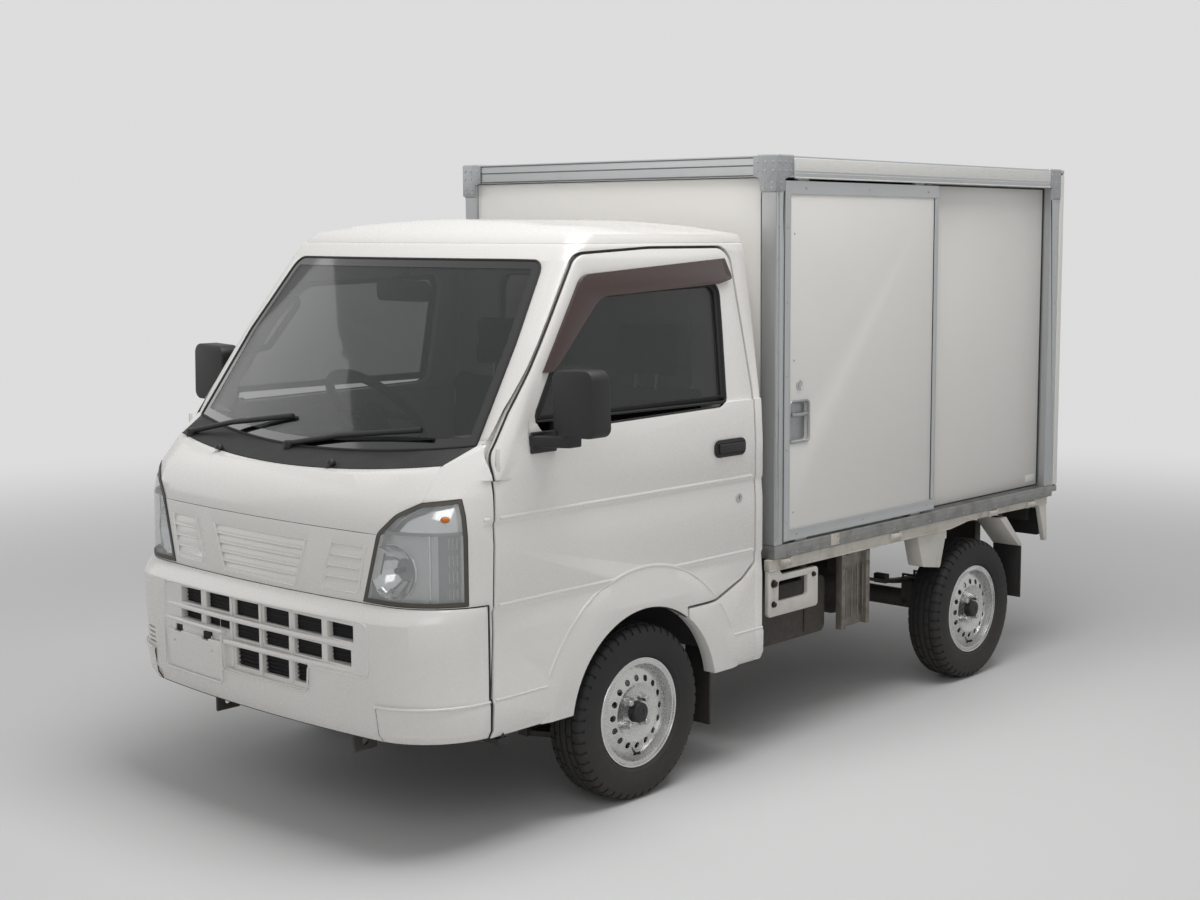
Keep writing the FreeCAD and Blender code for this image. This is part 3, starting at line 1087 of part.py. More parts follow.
def main():
    """Build every node and write it."""
    os.makedirs("parts", exist_ok=True)
    nodes = {}
    nodes.update(make_cab())
    nodes.update(make_bumper())
    nodes.update(make_floor())
    nodes.update(make_seats())
    nodes.update(make_dashboard())
    nodes.update(make_steering_wheel())
    nodes.update(make_fittings())
    nodes.update(make_wipers())
    fittings, visor = make_door_fittings()
    nodes["door_left_fittings"] = fittings
    nodes["door_right_fittings"] = [mirrored(shape) for shape in fittings]
    nodes["door_left_visor"] = visor
    nodes["door_right_visor"] = [mirrored(shape) for shape in visor]
    stubs = add_door_hinges(nodes)
    nodes["wing_panels"] = joined(nodes["wing_panels"] + stubs).Solids
    nodes.update(make_wheels())
    nodes.update(make_front_suspension())
    nodes.update(make_chassis())
    nodes.update(make_rear_axle())
    nodes.update(make_drive_and_tank())
    nodes.update(make_box())
    nodes.update(make_bed())
    for name in nodes:
        write(name, nodes[name])


main()
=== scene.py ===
"""Looks of a light cab-over truck with an aluminium-framed panel box.

Everything is in metres in the truck's own frame: +Z is up, the front faces -Y and +X is the truck's
left side. Sizes given to mm(...) are millimetres, and places given to at, path, rod and block are
millimetres too: x, distance behind the front of the bumper, and height. So are the fields of the
classes where nothing else is said.
"""
import json
import logging
import math
from contextlib import contextmanager
from dataclasses import dataclass
from enum import Enum
from itertools import groupby
from typing import Callable, Iterator, Sequence

import bmesh
import bpy
from mathutils import Matrix, Vector
from mathutils.bvhtree import BVHTree


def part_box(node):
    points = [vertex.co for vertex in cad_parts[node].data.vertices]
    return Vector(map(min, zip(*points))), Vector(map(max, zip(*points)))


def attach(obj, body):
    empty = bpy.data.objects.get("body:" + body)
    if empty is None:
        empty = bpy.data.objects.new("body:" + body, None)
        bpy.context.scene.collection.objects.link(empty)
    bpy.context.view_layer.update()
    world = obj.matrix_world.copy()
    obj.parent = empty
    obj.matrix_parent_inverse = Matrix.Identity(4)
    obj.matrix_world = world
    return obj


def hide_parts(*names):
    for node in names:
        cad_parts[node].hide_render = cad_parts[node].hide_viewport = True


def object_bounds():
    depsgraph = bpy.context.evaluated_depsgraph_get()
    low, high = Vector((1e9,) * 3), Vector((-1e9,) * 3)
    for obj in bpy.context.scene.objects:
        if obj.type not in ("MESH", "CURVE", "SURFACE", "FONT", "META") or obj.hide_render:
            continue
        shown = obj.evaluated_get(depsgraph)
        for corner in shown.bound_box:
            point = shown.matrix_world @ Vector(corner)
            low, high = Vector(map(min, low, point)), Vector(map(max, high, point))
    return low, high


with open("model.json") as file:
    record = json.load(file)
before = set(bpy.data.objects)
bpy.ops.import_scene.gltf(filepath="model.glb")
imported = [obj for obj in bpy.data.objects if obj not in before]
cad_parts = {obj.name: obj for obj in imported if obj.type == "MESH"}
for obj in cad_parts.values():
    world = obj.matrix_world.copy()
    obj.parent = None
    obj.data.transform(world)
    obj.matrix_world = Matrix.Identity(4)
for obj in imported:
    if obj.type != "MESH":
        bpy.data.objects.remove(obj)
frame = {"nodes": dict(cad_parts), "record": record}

CAD_LOW, CAD_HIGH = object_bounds()
LOG = logging.getLogger("truck")
Triple = tuple[float, float, float]
Piece = bpy.types.Object
Tree = bpy.types.NodeTree
Socket = bpy.types.NodeSocket
Face = bmesh.types.BMFace
Test = Callable[[Face], bool]
FRONT, REAR = Vector((0, -1, 0)), Vector((0, 1, 0))
LEFT, UP = Vector((1, 0, 0)), Vector((0, 0, 1))


def mm(value: float) -> float:
    """Millimetres to metres."""
    return value / 1000


def aft(distance: float) -> float:
    """Row coordinate, in metres, of a place so many millimetres behind the bumper's front."""
    return CAD_LOW.y + mm(distance)


def at(x: float, behind: float, z: float) -> Vector:
    """Point from millimetres: x, distance behind the front, height."""
    return Vector((mm(x), aft(behind), mm(z)))


# ------------------------------------------------------------------ finishes

def linear(hex_colour: str) -> tuple[float, float, float, float]:
    """Linear RGBA of an sRGB hex colour.

    Args:
        hex_colour: Six hex digits with a leading #.

    Returns:
        Red, green, blue and an alpha of 1.
    """
    values = []
    for i in (1, 3, 5):
        part = int(hex_colour[i:i + 2], 16) / 255
        values.append(part / 12.92 if part <= 0.04045 else ((part + 0.055) / 1.055) ** 2.4)
    return values[0], values[1], values[2], 1


def add_node(tree: Tree, kind: str, settings: dict | None = None,
             inputs: dict | None = None) -> bpy.types.Node:
    """Adds one shader node.

    Args:
        tree: The material's tree.
        kind: The node's type name without "ShaderNode".
        settings: Properties of the node.
        inputs: Values, or output sockets to link, by input name or number.

    Returns:
        The node.
    """
    node = tree.nodes.new("ShaderNode" + kind)
    for key, value in (settings or {}).items():
        setattr(node, key, value)
    for key, value in (inputs or {}).items():
        if isinstance(value, Socket):
            tree.links.new(value, node.inputs[key])
        else:
            node.inputs[key].default_value = value
    return node


@dataclass(frozen=True)
class Finish:
    """A surface finish, which becomes one material the first time it is used.

    Attributes:
        name: The real finish in plain words, which names the material.
        slot: The record's material slot it stands for; it is not used.
        colour: Clean sRGB colour.
        worn: sRGB colour of its stains or shade patches.
        patch_mm: Size of those patches.
        patch_amount: How much of the surface they tint, 0 to 1.
        dirt: sRGB colour of road dirt.
        dirt_top: Height in metres at which the dirt has faded out; 0 for none.
        dirt_amount: How strongly the dirt shows low down, 0 to 1.
        grain_mm: Spacing of the surface's fine texture.
        grain_high: Height of that texture in millimetres.
        grain_stretch: Scale of the texture along X, Y and Z.
        rough: Roughness; it varies a little with the patches.
        metal: Metallic value.
        coat: Clear coat weight.
        ior: Index of refraction.
        cover: How much of what lies behind a clear sheet it hides, 0 to 1.
    """
    name: str
    slot: str
    colour: str
    worn: str = ""
    patch_mm: float = 180
    patch_amount: float = 0.25
    dirt: str = "#6B6257"
    dirt_top: float = 0
    dirt_amount: float = 0.5
    grain_mm: float = 2
    grain_high: float = 0
    grain_stretch: Triple = (1, 1, 1)
    rough: float = 0.5
    metal: float = 0
    coat: float = 0
    ior: float = 1.5
    cover: float = 1

    def material(self) -> bpy.types.Material:
        """The material, made once."""
        known = bpy.data.materials.get(self.name)
        if known is not None:
            return known
        made = bpy.data.materials.new(self.name)
        made.use_nodes = True
        tree = made.node_tree
        shader = tree.nodes["Principled BSDF"]
        sockets = {"Base Color": linear(self.colour), "Roughness": self.rough,
                   "Metallic": self.metal, "Coat Weight": self.coat, "Coat Roughness": 0.08}
        if not self.metal:
            sockets["IOR"] = self.ior
        if self.cover < 1:
            sockets["Alpha"] = self.cover
        for key, value in sockets.items():
            shader.inputs[key].default_value = value
        place = add_node(tree, "TexCoord").outputs["Object"]
        colour = self.paint(tree, place)
        if colour is not None:
            tree.links.new(colour, shader.inputs["Base Color"])
        self.relief(tree, place, shader)
        return made

    def paint(self, tree: Tree, place: Socket) -> Socket | None:
        """Colour with its patches and road dirt, or None where it is even.

        Args:
            tree: The material's tree.
            place: Object coordinates.

        Returns:
            The colour socket, or None.
        """
        if not self.worn and not self.dirt_top:
            return None
        patches = add_node(tree, "TexNoise", {}, {
            "Vector": place, "Scale": 1 / mm(self.patch_mm), "Detail": 4, "Roughness": 0.55})
        low = 0.62 - 0.3 * self.patch_amount
        mask = add_node(tree, "MapRange", {}, {
            "Value": patches.outputs["Fac"], "From Min": low, "From Max": low + 0.36, "To Min": 0,
            "To Max": min(1, self.patch_amount * 2)})
        mix = add_node(tree, "Mix", {"data_type": "RGBA"}, {
            0: mask.outputs[0], 6: linear(self.colour), 7: linear(self.worn or self.colour)})
        if not self.dirt_top:
            return mix.outputs[2]
        parts = add_node(tree, "SeparateXYZ", {}, {0: place})
        rise = add_node(tree, "MapRange", {}, {
            "Value": parts.outputs["Z"], "From Min": self.dirt_top, "From Max": 0.1,
            "To Min": 0, "To Max": 1})
        speckle = add_node(tree, "TexNoise", {}, {
            "Vector": place, "Scale": 38, "Detail": 8, "Roughness": 0.7})
        dirty = add_node(tree, "Math", {"operation": "MULTIPLY"},
                         {0: rise.outputs[0], 1: speckle.outputs["Fac"]})
        amount = add_node(tree, "Math", {"operation": "MULTIPLY", "use_clamp": True},
                          {0: dirty.outputs[0], 1: self.dirt_amount * 2})
        out = add_node(tree, "Mix", {"data_type": "RGBA"},
                       {0: amount.outputs[0], 6: mix.outputs[2], 7: linear(self.dirt)})
        return out.outputs[2]

    def relief(self, tree: Tree, place: Socket, shader: bpy.types.Node) -> None:
        """Fine surface texture as a bump, with a roughness that varies with it.

        Args:
            tree: The material's tree.
            place: Object coordinates.
            shader: The material's shader node.
        """
        if not self.grain_high:
            return
        stretched = add_node(tree, "Mapping", {}, {"Vector": place, "Scale": self.grain_stretch})
        grain = add_node(tree, "TexNoise", {}, {
            "Vector": stretched.outputs[0], "Scale": 1 / mm(self.grain_mm), "Detail": 3,
            "Roughness": 0.55})
        bump = add_node(tree, "Bump", {}, {
            "Height": grain.outputs["Fac"], "Strength": 0.5, "Distance": mm(self.grain_high)})
        tree.links.new(bump.outputs[0], shader.inputs["Normal"])
        rough = add_node(tree, "MapRange", {}, {
            "Value": grain.outputs["Fac"], "From Min": 0.3, "From Max": 0.7,
            "To Min": max(0.02, self.rough - 0.06), "To Max": min(1, self.rough + 0.06)})
        tree.links.new(rough.outputs[0], shader.inputs["Roughness"])


@dataclass(frozen=True)
class WovenCloth(Finish):
    """Seat cloth: two crossed thread directions, coarse enough to show.

    Attributes:
        thread_mm: Spacing of the threads.
    """
    thread_mm: float = 4.5

    def paint(self, tree: Tree, place: Socket) -> Socket | None:
        """Two thread colours, crossing.

        Args:
            tree: The material's tree.
            place: Socket with the place on the surface.

        Returns:
            The socket with the colour.
        """
        weave = self.weave(tree, place)
        mix = add_node(tree, "Mix", {"data_type": "RGBA"},
                       {0: weave, 6: linear(self.colour), 7: linear(self.worn)})
        return mix.outputs[2]

    def weave(self, tree: Tree, place: Socket) -> Socket:
        """Crossed threads, 0 in the gaps and 1 on the threads.

        Args:
            tree: The material's tree.
            place: Socket with the place on the surface.

        Returns:
            The socket with the pattern.
        """
        waves = []
        for direction in ("X", "Z"):
            wave = add_node(tree, "TexWave", {"bands_direction": direction}, {
                "Vector": place, "Scale": 0.314 / mm(self.thread_mm), "Distortion": 0.6})
            waves.append(wave.outputs["Fac"])
        both_ways = add_node(tree, "Math", {"operation": "MAXIMUM"}, {0: waves[0], 1: waves[1]})
        return both_ways.outputs[0]

    def relief(self, tree: Tree, place: Socket, shader: bpy.types.Node) -> None:
        """Dull threads, too fine to stand out as a bump."""
        shader.inputs["Specular IOR Level"].default_value = 0.1


@dataclass(frozen=True)
class RustyPaint(Finish):
    """Old paint with rust bleeding through in small patches.

    Attributes:
        rust: sRGB colour of the rust.
        rust_mm: Size of its patches.
        rust_amount: How much of the surface it covers, 0 to 1.
    """
    rust: str = "#7A4A2C"
    rust_mm: float = 55
    rust_amount: float = 0.3

    def paint(self, tree: Tree, place: Socket) -> Socket | None:
        """The grimy paint with rust over it.

        Args:
            tree: The material's tree.
            place: Socket with the place on the surface.

        Returns:
            The socket with the colour.
        """
        base = super().paint(tree, place)
        spots = add_node(tree, "TexNoise", {}, {
            "Vector": place, "Scale": 1 / mm(self.rust_mm), "Detail": 9, "Roughness": 0.72})
        low = 0.72 - 0.3 * self.rust_amount
        mask = add_node(tree, "MapRange", {}, {
            "Value": spots.outputs["Fac"], "From Min": low, "From Max": low + 0.1,
            "To Min": 0, "To Max": 0.85})
        out = add_node(tree, "Mix", {"data_type": "RGBA"}, {
            0: mask.outputs[0], 7: linear(self.rust)})
        if base is None:
            out.inputs[6].default_value = linear(self.colour)
        else:
            tree.links.new(base, out.inputs[6])
        return out.outputs[2]


class Look:
    """The truck's finishes, by what carries them."""
    # solid white enamel on pressed steel: a clear wet gloss with faint orange peel
    BODY = Finish("white_body_enamel", "paint_white", "#E4E2DE", "#DCDAD5", 500, 0.12,
        dirt_top=0.55, dirt_amount=0.12, grain_mm=3, grain_high=0.006, rough=0.26, coat=0.35)
    # baked enamel on flat aluminium sheet: smoother and flatter than the cab's
    PANEL = Finish("white_coated_sheet", "box_white", "#E2E0DC", "#D6D3CE", 600, 0.2, dirt_top=0.85,
        dirt_amount=0.1, grain_mm=60, grain_high=0.25, rough=0.34)
    # brushed-on white, greyed by years of loads
    BED = RustyPaint("grimy_off_white_bed_paint", "bed_paint", "#CFCBC2", "#A39C90", 90, 0.5,
        dirt_top=0.75, dirt_amount=0.6, grain_mm=5, grain_high=0.12, rough=0.5)
    # extruded aluminium left bare: fine draw lines along its length and a dull oxide
    EXTRUSION = Finish("bare_aluminium_extrusion", "aluminium", "#B9BBBC", "#A6A8A9", 160, 0.25,
        grain_mm=1.6, grain_high=0.04, grain_stretch=(1, 1, 0.03), rough=0.4, metal=0.7)
    SILL = RustyPaint("stained_aluminium_sill", "aluminium", "#9EA0A0", "#7B7872", 60, 0.55,
        dirt_top=0.9, dirt_amount=0.7, grain_mm=3, grain_high=0.06, grain_stretch=(1, 0.05, 1),
        rough=0.5, metal=0.75, rust_amount=0.12)
    EXTRUSION_DARK = Finish("weathered_dark_extrusion", "aluminium", "#6D6F70", "#5A5B5B", 60, 0.4,
        grain_mm=1.6, grain_high=0.05, grain_stretch=(0.03, 1, 1), rough=0.48, metal=0.7)
    LIP = Finish("white_enamelled_aluminium_lip", "aluminium", "#DAD9D6", "#C9C8C4", 60, 0.3,
        grain_mm=1.6, grain_high=0.03, grain_stretch=(1, 0.03, 1), rough=0.3, coat=0.2)
    RUSTED_PATCH = RustyPaint("rusted_patch_plate", "box_white", "#C2BEB4", "#8D7F6B", 20, 0.6,
        grain_mm=4, grain_high=0.15, rough=0.6, rust_mm=16, rust_amount=0.55)
    CASTING = Finish("sand_cast_aluminium", "aluminium", "#A4A6A8", "#8F9092", 25, 0.4, grain_mm=3,
        grain_high=0.25, rough=0.5, metal=0.8)
    # zinc-plated or polished fasteners
    STEEL = Finish("zinc_plated_steel", "wheel_silver", "#B9BABA", "#98938B", 12, 0.3, grain_mm=2,
        grain_high=0.04, rough=0.3, metal=0.95)
    BRIGHT = Finish("polished_rim_lip", "wheel_silver", "#D2D3D3", "#C2C2C1", 20, 0.3, grain_mm=3,
        grain_high=0.02, rough=0.18, metal=1)
    GALVANISED = RustyPaint("weathered_galvanised_plate", "bed_paint", "#9C9A93", "#77736A", 40,
        0.6, dirt_top=0.7, dirt_amount=0.8, grain_mm=4, grain_high=0.2, rough=0.6, metal=0.5,
        rust_amount=0.42)
    BED_CLEAN = RustyPaint("off_white_sheet_paint", "bed_paint", "#D2CFC8", "#B0AAA0", 120, 0.35,
        dirt_top=0.62, dirt_amount=0.4, grain_mm=7, grain_high=0.08, rough=0.42, rust_amount=0.05)
    DARK_BOLT = RustyPaint("blackened_steel_bolt", "axle_iron", "#2B2927", "#3D332B", 14, 0.5,
        grain_mm=3, grain_high=0.08, rough=0.5, metal=0.5, rust_mm=12, rust_amount=0.35)
    MIRROR_GLASS = Finish("silvered_mirror_glass", "lamp_clear", "#C9CDCF", grain_mm=80,
        grain_high=0.01, rough=0.02, metal=1)
    BLACK = Finish("grained_black_abs", "black_plastic", "#1B1B1C", "#232324", 40, 0.3,
        grain_mm=1.4, grain_high=0.1, rough=0.52)
    COWL = Finish("weathered_black_plastic", "black_plastic", "#202021", "#2D2D2D", 70, 0.5,
        grain_mm=2, grain_high=0.14, rough=0.62)
    # near-black plastic for the real black parts, and painted shade where it fills the wheels'
    # groove, the bumper's holes and the door locks' key slots
    DARK = Finish("dark_void_plastic", "black_plastic", "#0B0B0C", grain_mm=3, grain_high=0.1,
        rough=0.8)
    RUBBER = Finish("black_epdm_rubber", "flap_rubber", "#161616", "#1F1E1D", 30, 0.3, grain_mm=2,
        grain_high=0.1, rough=0.68)
    FLAP = Finish("dusty_rubber_sheet", "flap_rubber", "#151516", "#1F1E1D", 120, 0.4, dirt_top=0.5,
        dirt_amount=0.15, grain_mm=3, grain_high=0.2, rough=0.75)
    TYRE = Finish("vulcanised_tyre_rubber", "tyre_rubber", "#1A1A1B", "#242424", 60, 0.35,
        dirt_top=0.4, dirt_amount=0.12, grain_mm=2.5, grain_high=0.15, rough=0.72)
    WHEEL = Finish("silver_wheel_enamel", "wheel_silver", "#CBCBCA", "#B4B2AE", 45, 0.3,
        dirt_top=0.6, dirt_amount=0.12, grain_mm=4, grain_high=0.03, rough=0.27, metal=0.85)
    FRAME = RustyPaint("road_worn_chassis_black", "frame_black", "#1A1A1A", "#2A2724", 80, 0.5,
        dirt_top=0.7, dirt_amount=0.5, grain_mm=5, grain_high=0.2, rough=0.65, rust_amount=0.12)
    IRON = RustyPaint("oily_cast_iron", "axle_iron", "#232120", "#3A322B", 50, 0.5, dirt_top=0.6,
        dirt_amount=0.5, grain_mm=4, grain_high=0.4, rough=0.6, rust_amount=0.3)
    SCREEN = Finish("tinted_float_glass", "window_glass", "#1E2322", rough=0.01, coat=0.6, ior=1.52,
        cover=0.5)
    LENS = Finish("clear_polycarbonate", "lamp_clear", "#DDE0E0", rough=0.02, coat=0.5, ior=1.58,
        cover=0.2)
    MIRROR = Finish("vacuum_metallised_reflector", "lamp_clear", "#D6D8D9", grain_mm=18,
        grain_high=0.4, rough=0.12, metal=1)
    BEZEL = Finish("satin_grey_bezel", "lamp_clear", "#B2B4B5", grain_mm=2, grain_high=0.02,
        rough=0.35, metal=0.6)
    BEZEL_DARK = Finish("dark_grey_lamp_housing", "lamp_clear", "#6E7072", grain_mm=2,
        grain_high=0.02, rough=0.4, metal=0.3)
    GASKET = Finish("grey_brown_lamp_gasket", "flap_rubber", "#4D4942", "#3E3B36", 40, 0.4,
        grain_mm=2, grain_high=0.08, rough=0.6)
    AMBER = Finish("amber_bulb_glass", "lamp_clear", "#C8701A", grain_mm=6, grain_high=0.05,
        rough=0.2)
    RED = Finish("red_lamp_lens", "lamp_red", "#9A1414", grain_mm=9, grain_high=0.5, rough=0.15,
        coat=0.6)
    CLEAR_LENS = Finish("clear_ribbed_lens", "lamp_clear", "#D9D9D6", grain_mm=8, grain_high=0.5,
        rough=0.15, coat=0.5)
    ORANGE_LENS = Finish("orange_lamp_lens", "lamp_red", "#D06A12", grain_mm=9, grain_high=0.5,
        rough=0.15, coat=0.5)
    SMOKE = Finish("smoked_brown_acrylic", "visor_brown", "#3E2722", rough=0.06, coat=0.6, ior=1.49,
        cover=0.82)
    CLOTH = WovenCloth("dark_woven_seat_cloth", "seat_fabric", "#202022", "#262628", 60, 0.4,
        rough=0.9)
    MAT = Finish("grey_vinyl_floor_mat", "floor_grey", "#2E2E30", "#38373A", 70, 0.4, grain_mm=5,
        grain_high=0.4, rough=0.8)
    TRIM = Finish("dark_grey_moulded_trim", "black_plastic", "#2F3032", "#383939", 60, 0.3,
        grain_mm=1.8, grain_high=0.12, rough=0.6)
    # black ceramic paint baked on glass, under its gloss
    FRIT = Finish("black_ceramic_glass_border", "window_glass", "#080808", grain_mm=9,
        grain_high=0.01, rough=0.08, coat=0.8)
    PLATE = Finish("blank_painted_plate", "box_white", "#D8D8D4", "#CACAC5", 60, 0.2, grain_mm=20,
        grain_high=0.05, rough=0.4)


# ------------------------------------------------------------------ modelling

def pick(*pieces: Piece) -> None:
    """Leaves edit mode and selects only these objects, the first of them active."""
    active = bpy.context.view_layer.objects.active
    if active is not None and active.mode != "OBJECT":
        bpy.ops.object.mode_set(mode="OBJECT")
    bpy.ops.object.select_all(action="DESELECT")
    for piece in pieces:
        piece.select_set(True)
    if pieces:
        bpy.context.view_layer.objects.active = pieces[0]


@contextmanager
def editing(piece: Piece) -> Iterator[bpy.types.Mesh]:
    """Edit mode on one piece, all of it selected at first.

    Args:
        piece: The mesh object.

    Returns:
        The mesh, while its edit mode lasts.
    """
    pick(piece)
    bpy.ops.object.mode_set(mode="EDIT")
    bpy.ops.mesh.select_mode(type="VERT")
    bpy.ops.mesh.select_all(action="SELECT")
    yield piece.data
    bpy.ops.object.mode_set(mode="OBJECT")


def choose(mesh: bpy.types.Mesh, test: Test) -> None:
    """Selects, in edit mode, only the faces that pass a test.

    Args:
        mesh: The mesh in edit mode.
        test: Takes a face and says whether to select it.
    """
    bpy.ops.mesh.select_mode(type="FACE")
    bpy.ops.mesh.select_all(action="DESELECT")
    for face in bmesh.from_edit_mesh(mesh).faces:
        if test(face):
            face.select_set(True)
    bmesh.update_edit_mesh(mesh)


def settle(piece: Piece) -> Piece:
    """Puts a piece's place, turn and scale into its mesh.

    Args:
        piece: The mesh object.

    Returns:
        The piece.
    """
    pick(piece)
    bpy.ops.object.transform_apply(location=True, rotation=True, scale=True)
    return piece


def modify(piece: Piece, kind: str, **settings: object) -> Piece:
    """Adds one modifier to a piece and applies it.

    Args:
        piece: The mesh object.
        kind: The modifier's type.
        settings: Its properties.

    Returns:
        The piece.
    """
    pick(piece)
    modifier = piece.modifiers.new(kind.lower(), kind)
    for key, value in settings.items():
        setattr(modifier, key, value)
    bpy.ops.object.modifier_apply(modifier=modifier.name)
    return piece


def rounded(piece: Piece, edge_mm: float, segments: int = 2, angle: float = 28) -> Piece:
    """Rounds a piece's sharp edges."""
    return modify(piece, "BEVEL", width=mm(edge_mm), segments=segments, limit_method="ANGLE",
                  angle_limit=math.radians(angle), use_clamp_overlap=False)


def cube(low: Vector, high: Vector, edge_mm: float = 0, segments: int = 3) -> Piece:
    """Box between two corners, its edges rounded.

    Args:
        low: Lowest corner in metres.
        high: Highest corner.
        edge_mm: Edge radius.
        segments: Facets over that radius.

    Returns:
        The piece.
    """
    pick()
    low, high = Vector(map(min, low, high)), Vector(map(max, low, high))
    bpy.ops.mesh.primitive_cube_add(size=1, location=(low + high) / 2, scale=high - low)
    piece = settle(bpy.context.object)
    if edge_mm:
        with editing(piece):
            bpy.ops.mesh.bevel(offset=mm(edge_mm), segments=segments, affect="EDGES",
                               clamp_overlap=True)
    return piece


def chain(points: Sequence[Vector]) -> Piece:
    """Edges through points in order, drawn by extruding one vertex.

    Args:
        points: Its corners in order, in metres.

    Returns:
        The piece.
    """
    pick()
    bpy.ops.mesh.primitive_plane_add(size=mm(1), location=points[0])
    piece = settle(bpy.context.object)
    with editing(piece):
        bpy.ops.mesh.merge(type="CENTER")
        for here, there in zip(points, points[1:]):
            bpy.ops.mesh.extrude_region_move(TRANSFORM_OT_translate={"value": tuple(there - here)})
    return piece


def plate(points: Sequence[Vector], depth: Vector, edge_mm: float = 0) -> Piece:
    """Plate of an outline, extruded by a vector.

    Args:
        points: The outline's corners, in metres.
        depth: Direction and distance of the extrusion.
        edge_mm: Edge radius.

    Returns:
        The piece.
    """
    piece = chain(points)
    with editing(piece):
        bpy.ops.mesh.edge_face_add()
        bpy.ops.mesh.extrude_region_move(TRANSFORM_OT_translate={"value": tuple(depth)})
        bpy.ops.mesh.select_all(action="SELECT")
        bpy.ops.mesh.normals_make_consistent(inside=False)
    return rounded(piece, edge_mm) if edge_mm else piece


def lathe(profile: Sequence[tuple[float, float]], centre: Vector, axis: Vector,
          steps: int = 48) -> Piece:
    """Turned piece.

    Args:
        profile: Rows of (distance along the axis, radius) in millimetres; the first row is
            repeated at the end where the section is closed, or both ends lie on the axis.
        centre: Point on the axis, in metres.
        axis: Direction of the axis.
        steps: Facets round it.

    Returns:
        The piece.
    """
    axis = axis.normalized()
    across = axis.orthogonal().normalized()
    piece = chain([centre + axis * mm(along) + across * mm(radius) for along, radius in profile])
    with editing(piece):
        bpy.ops.mesh.spin(steps=steps, angle=2 * math.pi, center=centre, axis=axis)
        bpy.ops.mesh.select_all(action="SELECT")
        bpy.ops.mesh.remove_doubles(threshold=mm(0.03))
        bpy.ops.mesh.normals_make_consistent(inside=False)
    return piece


def bar(points: Sequence[Vector], radius_mm: float, smooth: bool = False, closed: bool = False,
        sides: int = 3) -> Piece:
    """Round bar, wire or seal along points.

    Args:
        points: Its centre line, in metres.
        radius_mm: Its radius.
        smooth: Whether it bends smoothly between the points.
        closed: Whether it joins up with its start.
        sides: Half the facets of a quarter turn of its section.

    Returns:
        The piece.
    """
    curve = bpy.data.curves.new("bar", "CURVE")
    curve.dimensions = "3D"
    spline = curve.splines.new("NURBS" if smooth else "POLY")
    spline.points.add(len(points) - 1)
    for knot, point in zip(spline.points, points):
        knot.co = (*point, 1)
    if smooth:
        spline.order_u = 3
        spline.use_endpoint_u = not closed
        spline.resolution_u = 6
    spline.use_cyclic_u = closed
    curve.bevel_depth = mm(radius_mm)
    curve.bevel_resolution = sides
    curve.use_fill_caps = True
    piece = bpy.data.objects.new("bar", curve)
    bpy.context.scene.collection.objects.link(piece)
    pick(piece)
    bpy.ops.object.convert(target="MESH")
    piece = bpy.context.object
    with editing(piece):
        bpy.ops.mesh.remove_doubles(threshold=mm(0.01))
        bpy.ops.mesh.normals_make_consistent(inside=False)
    return piece


def twin(piece: Piece, change: Matrix) -> Piece:
    """Copy with its own mesh, changed by a matrix, and right side out if that mirrors.

    Args:
        piece: The mesh object.
        change: What moves, turns or mirrors the copy.

    Returns:
        The copy.
    """
    copy = piece.copy()
    copy.data = piece.data.copy()
    bpy.context.scene.collection.objects.link(copy)
    copy.data.transform(change)
    if change.determinant() < 0:
        copy.data.flip_normals()
    return copy


MIRROR_X = Matrix.Scale(-1, 4, Vector((1, 0, 0)))


def mirrored(piece: Piece) -> Piece:
    """The same piece on the truck's other side."""
    return twin(piece, MIRROR_X)


def merged(pieces: Sequence[Piece]) -> Piece:
    """Several meshes joined into one object.

    Args:
        pieces: The mesh objects; all but the first are used up.

    Returns:
        The piece.
    """
    pick(*pieces)
    bpy.ops.object.join()
    return bpy.context.object


NODE_BODY = {node: body for body, nodes in frame["record"]["behaviour"]["bodies"].items()
             for node in nodes}


def skin_of(node: str) -> Piece:
    """Merged copy of a CAD node's mesh, its flat faces made whole.

    Args:
        node: The CAD node.

    Returns:
        The piece.
    """
    source = frame["nodes"][node]
    copy = bpy.data.objects.new(node + "_skin", source.data.copy())
    bpy.context.scene.collection.objects.link(copy)
    pick(copy)
    bpy.ops.mesh.customdata_custom_splitnormals_clear()
    with editing(copy):
        bpy.ops.mesh.remove_doubles(threshold=mm(0.02))
        bpy.ops.mesh.dissolve_limited(angle_limit=math.radians(0.4))
    return copy


def solids_of(node: str) -> list[Piece]:
    """Merged copies of a CAD node's separate solids, from the lowest Y to the highest.

    Args:
        node: The CAD node.

    Returns:
        One piece for each solid.
    """
    whole = skin_of(node)
    with editing(whole):
        bpy.ops.mesh.separate(type="LOOSE")
    found = list(bpy.context.selected_objects)
    if whole not in found:
        found.append(whole)
    return sorted(found, key=lambda o: middle(o).y)


def middle(piece: Piece) -> Vector:
    """Centre of a piece's box, from its vertices.

    Args:
        piece: The mesh object.

    Returns:
        The centre, in metres.
    """
    low = Vector(map(min, *[v.co for v in piece.data.vertices]))
    high = Vector(map(max, *[v.co for v in piece.data.vertices]))
    return (low + high) / 2


def keep_faces(piece: Piece, test: Test) -> Piece:
    """Deletes the faces that fail a test.

    Args:
        piece: The mesh object.
        test: Whether a face stays.

    Returns:
        The piece.
    """
    with editing(piece) as mesh:
        choose(mesh, lambda face: not test(face))
        bpy.ops.mesh.delete(type="FACE")
    return piece


